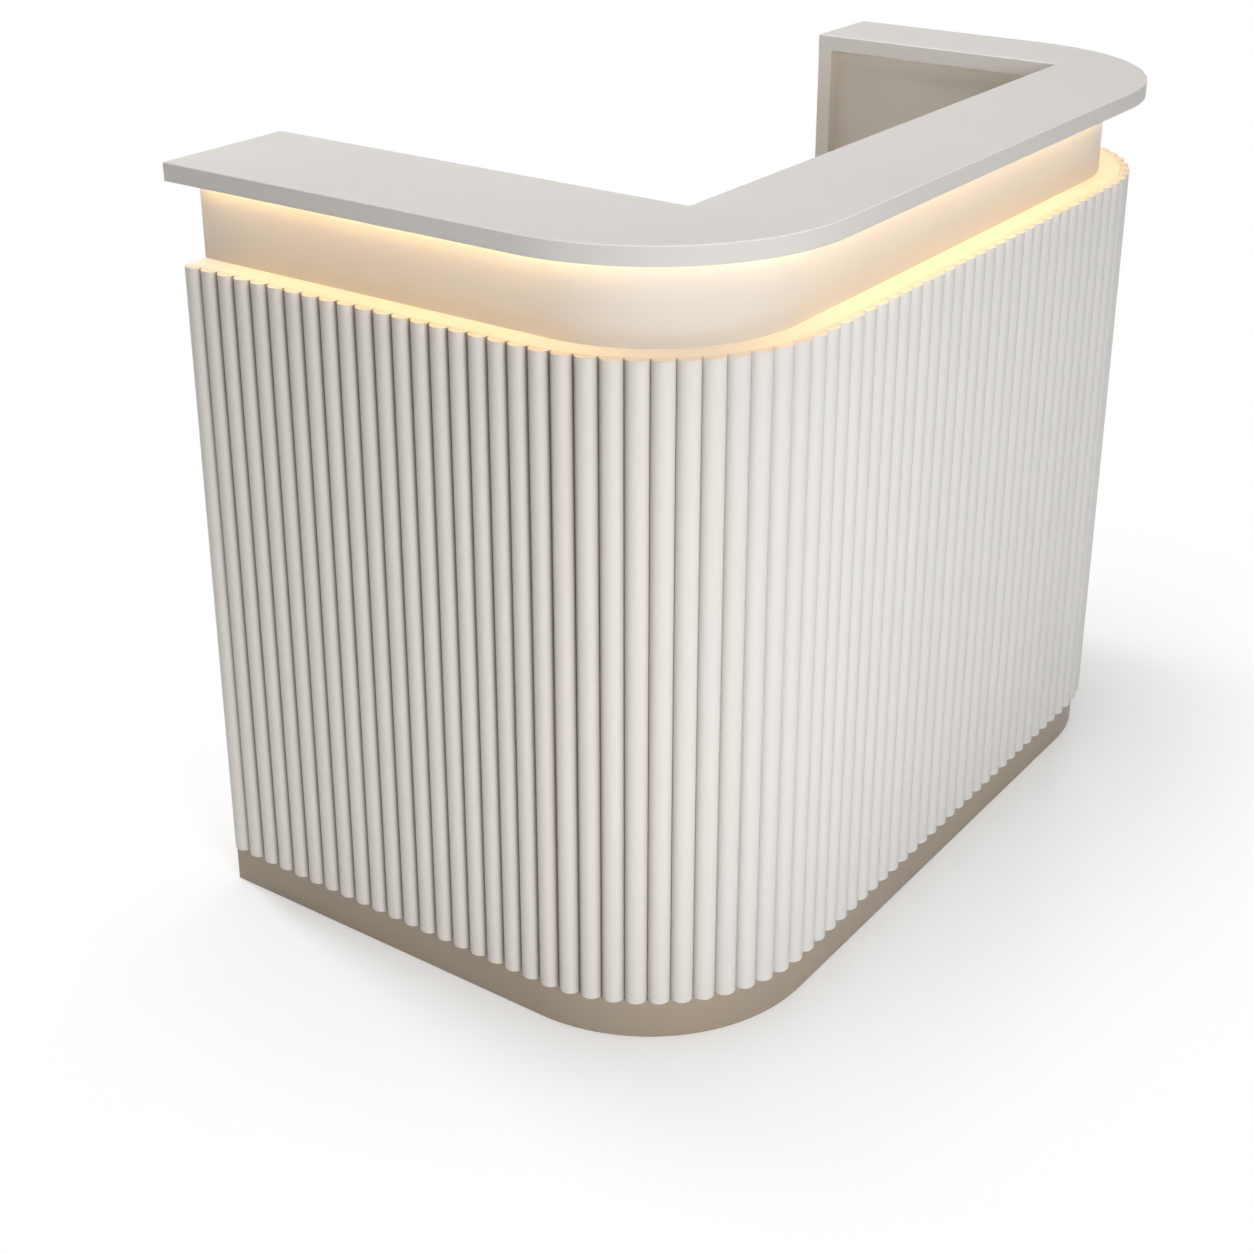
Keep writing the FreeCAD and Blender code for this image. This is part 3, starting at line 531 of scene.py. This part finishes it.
path = slats.curve(given["Geometry"])
half_step = slats.math("DIVIDE", 0.5, given["count"])
trim = {0: path, 2: half_step, 3: slats.math("SUBTRACT", 1.0, half_step)}
trimmed = slats.add("GeometryNodeTrimCurve", trim, mode="FACTOR").outputs[0]
stops = slats.add(
    "GeometryNodeCurveToPoints", {"Curve": trimmed, "Count": given["count"]}, mode="COUNT"
).outputs
tangent = stops["Tangent"]
facing = slats.add(
    "FunctionNodeAlignRotationToVector", {"Vector": tangent}, axis="X", pivot_axis="Z"
).outputs[0]
row_of_slats = slats.add(
    "GeometryNodeInstanceOnPoints", {"Points": stops["Points"], "Instance": slat, "Rotation": facing}
).outputs[0]
chance = slats.add("FunctionNodeRandomValue", {2: -1.0, 3: 1.0, "Seed": given["seed"]}).outputs[1]
with_tone = slats.stored(row_of_slats, "tone", chance, "INSTANCE")
slat_index = slats.add("GeometryNodeInputIndex").outputs[0]
from_free = slats.math("ABSOLUTE", slats.math("SUBTRACT", slat_index, given["free_slat"]))
has_neighbour = slats.math("GREATER_THAN", from_free, 0.5)
rearward = slats.math("MULTIPLY", slats.parts(tangent)["Y"], has_neighbour)
slats.finish(slats.stored(with_tone, "rearward", rearward, "INSTANCE"))

# %% [markdown]
# The fluted wall has five stretches: left side, left bend, front, right bend and right side.
# One path round all five could carry the slats, but each stretch is a solid of its own, with its own count.
# Straight stretches need two points, and a bend is a quarter circle of many short steps.

# %% Slats on the five stretches of the wall

slat_radius, eased_end = 0.015, 0.0007
ledge_low, ledge_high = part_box("ledge_board")
right_low, right_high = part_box("skin_corner_right")
left_centre = Vector((left_high.x, left_high.y, 0.0))
right_centre = Vector((right_low.x, right_high.y, 0.0))
slat_foot, slat_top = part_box("flutes_front")[0].z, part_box("flutes_front")[1].z


def bend(centre, first_degrees, steps=64):
    """A quarter circle round one front corner."""
    turns = [math.radians(first_degrees + 90 * step / steps) for step in range(steps + 1)]
    return [centre + bend_radius * Vector((math.cos(turn), math.sin(turn), 0.0)) for turn in turns]


left_run = [(ledge_low.x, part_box("neck_left")[1].y, 0), (ledge_low.x, left_centre.y, 0)]
front_run = [(left_centre.x, ledge_low.y, 0), (right_centre.x, ledge_low.y, 0)]
right_run = [(ledge_high.x, right_centre.y, 0), (ledge_high.x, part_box("neck_right")[1].y, 0)]
none_free = -1
stretches = {
    "flutes_left": (19, left_run, 0),
    "flutes_corner_left": (13, bend(left_centre, 180), none_free),
    "flutes_front": (28, front_run, none_free),
    "flutes_corner_right": (13, bend(right_centre, 270), none_free),
    "flutes_right": (11, right_run, 10),
}
for seed, (solid, (count, points, free_slat)) in enumerate(stretches.items()):
    wall = slats.grow(
        f"{solid}_eased", "fluted_white", points, count=count, free_slat=free_slat,
        radius=slat_radius, foot=slat_foot, top=slat_top, eased=eased_end, seed=seed,
    )
    stands_for(wall, "desk", "fluted_white", solid)

# %% [markdown]
# Boards that hands touch have their edges taken off with sandpaper, which shows as a thin light line.
# A Bevel modifier would round the rims of screw holes too, so only long sharp edges of a copy are bevelled.
# The copy stands for its solid, which stays as it is for collision.

# %% Softened boards

same_spot, flat_turn = 1e-6, math.radians(0.5)
sharp_turn, long_side = 0.6, 0.03
board_sharp_degrees = 4


def merged(solid):
    """A solid's loose triangles as one mesh to work on, with flat faces made whole."""
    made = bmesh.new()
    made.from_mesh(nodes[solid].data)
    bmesh.ops.remove_doubles(made, verts=made.verts, dist=same_spot)
    bmesh.ops.dissolve_limit(made, angle_limit=flat_turn, verts=made.verts, edges=made.edges)
    return made


def as_piece(made, name, *slots):
    """Makes a mesh a piece; small roundings stay faceted, so that wide flat faces are shaded flat."""
    mesh = bpy.data.meshes.new(name)
    made.to_mesh(mesh)
    made.free()
    for slot in slots:
        mesh.materials.append(finishes[slot])
    return shown(name, mesh, board_sharp_degrees)


def round_edges(made, width, chosen):
    """Rounds the sharp edges of a mesh that the test called chosen lets through."""
    sharp = [edge for edge in made.edges if edge.calc_face_angle(0.0) > sharp_turn and chosen(edge)]
    shape = {"segments": 3, "profile": 0.5, "affect": "EDGES", "clamp_overlap": True}
    bmesh.ops.bevel(made, geom=sharp, offset=width, **shape)


def long_edge(edge):
    return edge.calc_length() > long_side


def softened(solid, width, chosen=long_edge, body="desk"):
    """Puts a copy of a solid, with its chosen edges rounded, in the solid's place."""
    made = merged(solid)
    round_edges(made, width, chosen)
    stands_for(as_piece(made, f"{solid}_eased", slot_of[solid]), body, slot_of[solid], solid)


softened("worktop", 0.0015)
for solid in ("end_board_left", "end_board_right", "cleat_left", "cleat_front", "cleat_right"):
    softened(solid, 0.001)

# %% [markdown]
# The counter's top edge is rounded in the solid already, so its copy only marks it for the finish.
# A face of the rounding leans: it points neither straight up, like the slab's top, nor straight out.

# %% Counter arris

least_lean, most_lean = 0.15, 0.95
counter = merged("countertop")
arris_highlight_mark = counter.faces.layers.float.new("arris")
for face in counter.faces:
    face[arris_highlight_mark] = float(least_lean < face.normal.z < most_lean)
print(f"{sum(face[arris_highlight_mark] for face in counter.faces):.0f} counter faces are on the arris")
highlighted_top = as_piece(counter, "countertop_polished", "counter_satin")
stands_for(highlighted_top, "desk", "counter_satin", "countertop")

# %% [markdown]
# The base board is bare above and below, but its edges show on the staff side, painted like the linings.
# It could be cut apart with a knife, but its upright faces are easily told by their normals.

# %% Painted edges of the base board

base = merged("base_board")
for face in base.faces:
    face.material_index = int(abs(face.normal.z) < 0.5)
print(f"{sum(face.material_index for face in base.faces)} base faces are painted")
edged = as_piece(base, "base_board_edged", "raw_board", "lining_greige")
stands_for(edged, "desk", "raw_board", "base_board")

# %% [markdown]
# Screws and levelling feet are turned parts: round about one axis, with a radius for each height.
# The Spin operator could turn them, but a tree does it with the slats' own trick, a sweep that is scaled.
# The outline is handed in as points, with the radius along X and the height along Z.

# %% Helpers for turned parts


def turned(tree, sides):
    """Nodes that turn the outline given to a tree into a round solid about the Z axis."""
    spot = tree.parts(tree.position())
    kept = tree.stored(tree.given["Geometry"], "turn", spot["X"])
    on_axis = {"Geometry": kept, "Position": tree.vector(z=spot["Z"])}
    axis = tree.add("GeometryNodeSetPosition", on_axis).outputs[0]
    radius = tree.add("GeometryNodeInputNamedAttribute", {"Name": "turn"}).outputs[0]
    return tree.swept(tree.curve(axis), tree.circle(sides, 1.0), radius)


def outline(*points):
    """Points of an outline in millimetres, radius then height, as places in metres."""
    return [(radius / 1000, 0.0, height / 1000) for radius, height in points]


def islands(solid):
    """The lowest and highest corners of each separate lump of a solid."""
    made = merged(solid)
    known, boxes = set(), []
    for first in made.verts:
        lump, rim = [], [first]
        while rim:
            vert = rim.pop()
            if vert not in known:
                known.add(vert)
                lump.append(vert.co)
                rim += [edge.other_vert(vert) for edge in vert.link_edges]
        if lump:
            sides = list(zip(*lump))
            boxes.append((Vector(map(min, sides)), Vector(map(max, sides))))
    made.free()
    return boxes


print("turning helpers ready")

# %% [markdown]
# Pan-head screws hold the counter from below, through the battens, and the worktop, through the cleats.
# Their heads are seen from under the worktop, so each gets a domed head with a cross recess.
# The recess could be a dark picture of a cross, but a Boolean node cuts a real one that catches light.

# %% One pan-head screw

slot_share = 0.28
screw_tree = Tree(
    "pan_head_screw", sides="Int", recess="Float", recess_depth="Float", head_bottom="Float",
)
given = screw_tree.given
blank = turned(screw_tree, given["sides"])
slot_width = screw_tree.math("MULTIPLY", given["recess"], slot_share)
slot_height = screw_tree.math("MULTIPLY", given["recess_depth"], 2.0)
slots = screw_tree.add("GeometryNodeJoinGeometry")
for length, width in ((given["recess"], slot_width), (slot_width, given["recess"])):
    bar_size = screw_tree.vector(length, width, slot_height)
    bar = screw_tree.add("GeometryNodeMeshCube", {"Size": bar_size}).outputs["Mesh"]
    lowered = screw_tree.moved(bar, screw_tree.vector(z=given["head_bottom"]))
    screw_tree.link(lowered, slots.inputs[0])
cut = screw_tree.add(
    "GeometryNodeMeshBoolean", {"Mesh 1": blank, "Mesh 2": slots.outputs[0]}, operation="DIFFERENCE"
).outputs["Mesh"]
screw_tree.finish(cut)

# %% [markdown]
# A driver leaves each cross at another angle, so no two neighbours should look alike.
# A second tree plants the finished screw at every point it is given, turned by chance with a fixed seed.
# A quarter turn is enough, because a cross looks the same after it.

# %% Planted screws

plant = Tree("planted_screws", screw="Object", seed="Int")
given = plant.given
template = plant.add("GeometryNodeObjectInfo", {"Object": given["screw"]}).outputs["Geometry"]
screw_spots = plant.add("GeometryNodeMeshToPoints", {"Mesh": given["Geometry"]}).outputs[0]
quarter_turn = {2: 0.0, 3: math.pi / 2, "Seed": given["seed"]}
twist = plant.vector(z=plant.add("FunctionNodeRandomValue", quarter_turn).outputs[1])
planted = plant.add(
    "GeometryNodeInstanceOnPoints", {"Points": screw_spots, "Instance": template, "Rotation": twist}
).outputs[0]
plant.finish(planted)

# %% [markdown]
# The two sets of screws differ in length only, so one head outline serves both.
# Each lump of a set's solid is one screw, and its box says where the screw stands and how long it is.

# %% Screws of counter and worktop

head_height, tip_length = 3.0, 6.0
seat_rise = head_height / 1000
pan_head = outline(
    (0.4, -2.95), (2.0, -2.9), (3.2, -2.4), (3.8, -1.6), (4.0, -0.8), (4.0, -0.02), (2.0, 0.0),
)
for seed, solid in enumerate(("counter_screws", "worktop_screws")):
    lumps = islands(solid)
    length = 1000 * (lumps[0][1].z - lumps[0][0].z) - head_height
    shank = outline((2.0, length - tip_length), (0.3, length))
    screw = screw_tree.grow(
        f"{solid}_one", "zinc_steel", pan_head + shank, sides=24, recess=0.0042, recess_depth=0.0014,
        head_bottom=-seat_rise,
    )
    seats = [((low.x + high.x) / 2, (low.y + high.y) / 2, low.z + seat_rise) for low, high in lumps]
    screws = plant.grow(f"{solid}_crossed", "zinc_steel", seats, joined=False, screw=screw, seed=seed)
    bpy.data.objects.remove(screw)
    stands_for(screws, "desk", "zinc_steel", solid)

# %% [markdown]
# Four levelling feet stand inside the plinth, each on a body that slides when the foot is screwed in or out.
# The pad and the stem are one turned part, and the thread is a thin ridge swept along a spiral.
# A modelled thread costs few faces and looks right from below, where a bump would vanish at the outline.

# %% Tree of a levelling foot

ridge_share, ridge_sides, steps_per_turn = 0.36, 5, 20
feet = Tree("levelling_foot", sides="Int", crest="Float", pitch="Float", foot="Float", top="Float")
given = feet.given
stem = turned(feet, given["sides"])
thread_rise = feet.math("SUBTRACT", given["top"], given["foot"])
ridge_radius = feet.math("MULTIPLY", given["pitch"], ridge_share)
spiral_radius = feet.math("SUBTRACT", given["crest"], ridge_radius)
winding = {
    "Resolution": steps_per_turn, "Rotations": feet.math("DIVIDE", thread_rise, given["pitch"]),
    "Start Radius": spiral_radius, "End Radius": spiral_radius, "Height": thread_rise,
}
spiral = feet.add("GeometryNodeCurveSpiral", winding).outputs[0]
ridge = feet.swept(spiral, feet.circle(ridge_sides, ridge_radius))
thread = feet.moved(ridge, feet.vector(z=given["foot"]))
whole = feet.add("GeometryNodeJoinGeometry")
for part in (stem, thread):
    feet.link(part, whole.inputs[0])
feet.finish(whole.outputs[0])

# %% [markdown]
# The outline runs from the pad's underside over its rounded rim and a cone to the stem, all in millimetres.
# The same foot is grown four times and moved to its solid, so that each is a piece on a body of its own.

# %% Levelling feet

outline_start = 0.001
foot_outline = outline(
    (17.5, 1.0), (19.2, 1.4), (20.0, 2.4), (20.0, 7.6), (19.4, 8.6), (18.2, 9.0), (9.2, 9.3),
    (8.6, 10.0), (5.6, 15.2), (4.5, 16.0), (4.45, 107.0), (3.4, 108.0),
)
for corner in ("front_left", "rear_left", "front_right", "rear_right"):
    low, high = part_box(f"foot_{corner}")
    foot = feet.grow(
        f"foot_{corner}_threaded", "zinc_steel", foot_outline, sides=40, crest=0.005, pitch=0.0015,
        foot=0.0175, top=0.1065,
    )
    stand = ((low.x + high.x) / 2, (low.y + high.y) / 2, low.z - outline_start)
    foot.data.transform(Matrix.Translation(stand))
    stands_for(foot, f"levelling_{corner}", "zinc_steel", f"foot_{corner}")

# %% [markdown]
# The power unit hangs under the worktop: a moulded case with a mains inlet and a rocker switch on its face.
# Moulded edges are never sharp, so the rims that face the room are rounded.
# Rounding every edge would eat the narrow wells, so a test picks the edges that lie in the face's plane.

# %% Case and switch frame

same_plane = 1e-5
case_edge, inlet_edge, switch_edge = 0.0008, 0.0006, 0.0004


def on_face(solid):
    """A test for edges that lie in the plane of a solid's face to the room."""
    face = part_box(solid)[1].y
    return lambda edge: all(abs(vert.co.y - face) < same_plane for vert in edge.verts)


softened("power_case", case_edge, on_face("power_case"))
softened("switch_frame", switch_edge, on_face("switch_frame"))

# %% [markdown]
# The inlet is one solid in the source, but on the real one the three pins are brass in a black body.
# The faces of the pins are found by their place and get the second material, so nothing is cut apart.
# The rocker tips in its frame and shows all its sides, so all its edges but the shortest are rounded.

# %% Inlet with brass pins, and rocker

inlet_low, inlet_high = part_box("mains_inlet")
inlet_middle = (inlet_low + inlet_high) / 2
pin_half = Vector((0.00101, 1.0, 0.00201))
pin_offsets = ((-0.007, -0.002), (0.0, 0.002), (0.007, -0.002))
pin_places = [inlet_middle + Vector((x, 0.0, z)) for x, z in pin_offsets]
inlet = merged("mains_inlet")
for face in inlet.faces:
    offsets = [face.calc_center_median() - place for place in pin_places]
    is_pin = any(all(abs(offset[axis]) < pin_half[axis] for axis in range(3)) for offset in offsets)
    face.material_index = int(is_pin)
print(f"{sum(face.material_index for face in inlet.faces)} inlet faces are on the pins")
round_edges(inlet, inlet_edge, on_face("mains_inlet"))
pinned = as_piece(inlet, "mains_inlet_pinned", "fitting_black", "brass_pin")
stands_for(pinned, "desk", "fitting_black", "mains_inlet")

shortest_edge = 0.003
softened("switch_rocker", switch_edge, lambda edge: edge.calc_length() > shortest_edge, "rocker")

# %% [markdown]
# The rocker carries the two plain marks that every such switch has, a bar for on and a ring for off.
# Text could give them, but flat outlines, thickened and laid on the two wings, are drawn faster.
# They ride on the rocker's body, so they tip with it.

# %% Marks on the rocker

moulded("mark_white", screen(226, 226, 222), (0.40, 0.55), 0.000005)
pivot = next(joint["pos_m"] for joint in frame["joints"] if joint["name"] == "switch_rock")
half_throw = math.radians(7)
wing_slope = math.atan2(1.3, 10.5)
wing_height, wing_middle, mark_thickness = 0.00694, 0.0063, 0.0001
as_switched_on = Matrix.Translation(pivot) @ Matrix.Rotation(half_throw, 4, "X")


def lozenge(width, height, steps=24):
    """Points of an upright bar with round ends in millimetres, or of a circle where both sizes are equal."""
    round_end, straight = width / 2000, (height - width) / 2000
    points = []
    for step in range(steps):
        turn = 2 * math.pi * (step + 0.5) / steps
        up = round_end * math.sin(turn) + math.copysign(straight, math.sin(turn))
        points.append((round_end * math.cos(turn), 0.0, up))
    return points


def lay_mark(made, wing, outside, inside=()):
    """Adds one thin mark to the middle of the upper (1) or lower (-1) wing."""
    outer, inner = ([made.verts.new(point) for point in line] for line in (outside, inside))
    if inner:
        pairs = list(zip(outer, inner))
        steps = zip(pairs, pairs[1:] + pairs[:1])
        faces = [made.faces.new((*first, *reversed(second))) for first, second in steps]
    else:
        faces = [made.faces.new(outer)]
    raised = bmesh.ops.extrude_face_region(made, geom=faces)["geom"]
    top = [item for item in raised if isinstance(item, bmesh.types.BMVert)]
    bmesh.ops.translate(made, verts=top, vec=(0.0, mark_thickness, 0.0))
    middle_of_wing = Matrix.Translation((0.0, wing_height, wing * wing_middle))
    on_wing = middle_of_wing @ Matrix.Rotation(-wing * wing_slope, 4, "X")
    bmesh.ops.transform(made, matrix=as_switched_on @ on_wing, verts=[*outer, *inner, *top])


marks = bmesh.new()
lay_mark(marks, 1, lozenge(0.8, 3.6))
lay_mark(marks, -1, lozenge(3.6, 3.6), lozenge(2.4, 2.4))
bmesh.ops.recalc_face_normals(marks, faces=marks.faces)
stands_for(as_piece(marks, "switch_marks", "mark_white"), "rocker", "case_plastic")

# %% [markdown]
# A driver gets warm, so its case has a row of ribs on top that keep papers off the vents.
# An Array modifier could repeat one rib, but a tree takes the row's ends and a count, as a drawing does.

# %% Ribs of the case

rib_sides, rib_margin = 12, 0.014
ribs = Tree("case_ribs", count="Int", radius="Float", length="Float")
given = ribs.given
half = ribs.math("MULTIPLY", given["length"], 0.5)
rib_ends = {"Start": ribs.vector(y=ribs.math("MULTIPLY", half, -1.0)), "End": ribs.vector(y=half)}
rib_axis = ribs.add("GeometryNodeCurvePrimitiveLine", rib_ends).outputs[0]
rib = ribs.swept(rib_axis, ribs.circle(rib_sides, given["radius"]))
row = {"Curve": ribs.curve(given["Geometry"]), "Count": given["count"]}
rib_spots = ribs.add("GeometryNodeCurveToPoints", row, mode="COUNT").outputs["Points"]
ribs.finish(ribs.add("GeometryNodeInstanceOnPoints", {"Points": rib_spots, "Instance": rib}).outputs[0])

case_low, case_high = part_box("power_case")
case_middle = (case_low + case_high) / 2
row_ends = [
    (case_low.x + rib_margin, case_middle.y, case_high.z),
    (case_high.x - rib_margin, case_middle.y, case_high.z),
]
case_ribs = ribs.grow("case_ribs", "case_plastic", row_ends, count=27, radius=0.0011, length=0.044)
stands_for(case_ribs, "desk", "case_plastic")

# %% [markdown]
# Four small screws hold the face of the case, one near each corner.
# The screw tree makes them with a smaller outline, and the planting tree sets them out.
# That tree plants upright screws, so the face is laid out flat first, and the set is then turned upright.

# %% Screws of the case

screw_margin = 0.008
small_head = outline(
    (0.3, -1.4), (1.2, -1.35), (1.9, -1.0), (2.2, -0.4), (2.2, -0.02), (1.2, 0.0), (1.2, 1.5),
)
case_screw = screw_tree.grow(
    "case_screw_one", "zinc_steel", small_head, sides=20, recess=0.0024, recess_depth=0.0007,
    head_bottom=-0.0014,
)
columns = (case_low.x + screw_margin, case_high.x - screw_margin)
rows = (case_low.z + screw_margin, case_high.z - screw_margin)
laid_out = [(x, z, -case_high.y) for z in rows for x in columns]
case_screws = plant.grow("case_screws", "zinc_steel", laid_out, joined=False, screw=case_screw, seed=5)
bpy.data.objects.remove(case_screw)
case_screws.data.transform(Matrix.Rotation(math.radians(90), 4, "X"))
stands_for(case_screws, "desk", "zinc_steel")

# %% [markdown]
# The picture starts with a pale floor that keeps the desk's shadow and fades to white around it.
# More light could make it white, but it would bleach the desk too, so white comes from what a ray meets.
# Rays from the camera, and those by way of gloss or glass, see white; the light on things stays as it is.

# %% Pale floor

floor_level, reach = -0.0004, 14.0
floor_mesh = bpy.data.meshes.new("floor")
floor_corners = ((-reach, -reach), (reach, -reach), (reach, reach), (-reach, reach))
floor_mesh.from_pydata([(x, y, floor_level) for x, y in floor_corners], [], [(0, 1, 2, 3)])
floor = in_scene("floor", floor_mesh)


def seen_directly(wires):
    """1 for rays from the camera, or by way of gloss or glass, and 0 for the light that falls on things."""
    ray = wires.add("ShaderNodeLightPath").outputs
    camera_or_gloss = wires.math("MAXIMUM", ray["Is Camera Ray"], ray["Is Glossy Ray"])
    return wires.math("MAXIMUM", camera_or_gloss, ray["Is Transmission Ray"])


print(f"floor reaches {reach} m each way")

# %% [markdown]
# The floor is matt paper with a little lift, so that the shadow stays soft and pale.
# A Mapping node measures the distance from the desk in shares of its own size, which makes the fade an oval.
# Beyond that oval the paper is plain white, as a studio sweep is.

# %% Paper of the floor

paper_grey, paper_lift = (0.88, 0.88, 0.88, 1.0), 0.30
desk_share = (1 / 0.70, 1 / 0.45, 0.0)
fade_start, fade_end = 1.0, 2.3
paper = bpy.data.materials.new("floor_paper")
paper.use_nodes = True
sheet = Wiring(paper.node_tree)
sheet.tree.nodes.remove(sheet.tree.nodes["Principled BSDF"])
seen = seen_directly(sheet)
matt = sheet.add("ShaderNodeBsdfDiffuse", {"Color": paper_grey}).outputs[0]
lift = sheet.add("ShaderNodeEmission", {"Strength": sheet.math("MULTIPLY", seen, paper_lift)}).outputs[0]
lit_paper = sheet.add("ShaderNodeAddShader", {0: matt, 1: lift}).outputs[0]

floor_spot = sheet.add("ShaderNodeTexCoord").outputs["Object"]
in_shares = sheet.add("ShaderNodeMapping", {"Vector": floor_spot, "Scale": desk_share}).outputs["Vector"]
from_desk = sheet.add("ShaderNodeVectorMath", {0: in_shares}, operation="LENGTH").outputs["Value"]
oval = {"Value": from_desk, "From Min": fade_start, "From Max": fade_end}
far_off = sheet.add("ShaderNodeMapRange", oval, interpolation_type="SMOOTHSTEP").outputs["Result"]
fade = sheet.math("MULTIPLY", far_off, seen)
plain_white = sheet.add("ShaderNodeEmission").outputs[0]
faded = sheet.add("ShaderNodeMixShader", {0: fade, 1: lit_paper, 2: plain_white}).outputs[0]
sheet.link(faded, sheet.tree.nodes["Material Output"].inputs["Surface"])
floor_mesh.materials.append(paper)
print(f"floor paper has {len(sheet.tree.nodes)} nodes")

# %% [markdown]
# Round the desk is a white studio that gives only a little light of its own.
# A strong white world would light all sides alike and flatten the slats, so most light is left to the lamps.
# Seen directly or in gloss, it is plain white, with a strength of 1.

# %% White surroundings

ambient = 0.10
world = bpy.data.worlds.new("studio")
world.use_nodes = True
bpy.context.scene.world = world
sky = Wiring(world.node_tree)
around = sky.tree.nodes["Background"]
around.inputs["Color"].default_value = (1.0, 1.0, 1.0, 1.0)
levels = {"Value": seen_directly(sky), "To Min": ambient, "To Max": 1.0}
sky.link(sky.add("ShaderNodeMapRange", levels).outputs["Result"], around.inputs["Strength"])
print(f"ambient light {ambient}")

# %% [markdown]
# Slats look round when the light comes from one side, so the key lamp stands off the front left corner.
# A low card lifts the slats' feet, and fills on the right, behind and above keep every side readable.
# The lamps stay out of the gloss: seen at a flat angle in the counter, they would bleach its top.

# %% Soft lamps


def softbox(name, place, target, size, power):
    """A round soft lamp that points at a target; its size is in metres and its power in watts."""
    lamp = bpy.data.lights.new(name, "AREA")
    lamp.shape = "DISK"
    lamp.size = size
    lamp.energy = power
    holder = in_scene(name, lamp)
    holder.location = place
    holder.rotation_euler = (Vector(target) - Vector(place)).to_track_quat("-Z", "Y").to_euler()
    holder.visible_camera = False
    holder.visible_glossy = False
    print(f"{name}: {power} W")


middle, low_corner, base_middle = (0.0, -0.1, 0.55), (-0.45, -0.25, 0.4), (0.0, 0.0, 0.5)
softbox("key_corner", (-2.1, -3.1, 1.6), middle, 1.6, 57)
softbox("floor_card", (-2.25, -1.65, 0.12), low_corner, 1.0, 13)
softbox("fill_right", (3.4, 0.7, 0.6), middle, 1.0, 32)
softbox("fill_rear", (-0.1, 4.2, 2.6), middle, 1.2, 85)
softbox("top", (-0.1, 0.3, 4.2), base_middle, 3.0, 68)

# %% [markdown]
# The camera stands where the photograph was taken from, off the front left corner and above the counter.
# Its place and lens were fitted to the straight edges and the even row of slats, in the photograph's pixels.
# A small shift frames the desk without tilting its uprights further, and other views can live with it.

# %% Camera at the photograph's viewing angle

photo_pixels, focal_pixels, centre_row = 1254, 2052.93, 502
camera_data = bpy.data.cameras.new("photo_view")
camera_data.sensor_width = 36.0
camera_data.lens = focal_pixels / photo_pixels * camera_data.sensor_width
camera_data.shift_y = (centre_row - photo_pixels / 2) / photo_pixels
camera = in_scene("photo_view", camera_data)
camera.location = (-2.4700, -1.5653, 1.7437)
heading, tilt = math.radians(54.598), math.radians(-23.336)
level = math.cos(tilt)
forward = Vector((math.sin(heading) * level, math.cos(heading) * level, math.sin(tilt)))
camera.rotation_euler = forward.to_track_quat("-Z", "Y").to_euler()
bpy.context.scene.camera = camera
bpy.context.scene.view_settings.view_transform = "Standard"
print(f"lens {camera_data.lens:.1f} mm, shift {camera_data.shift_y:.3f}")
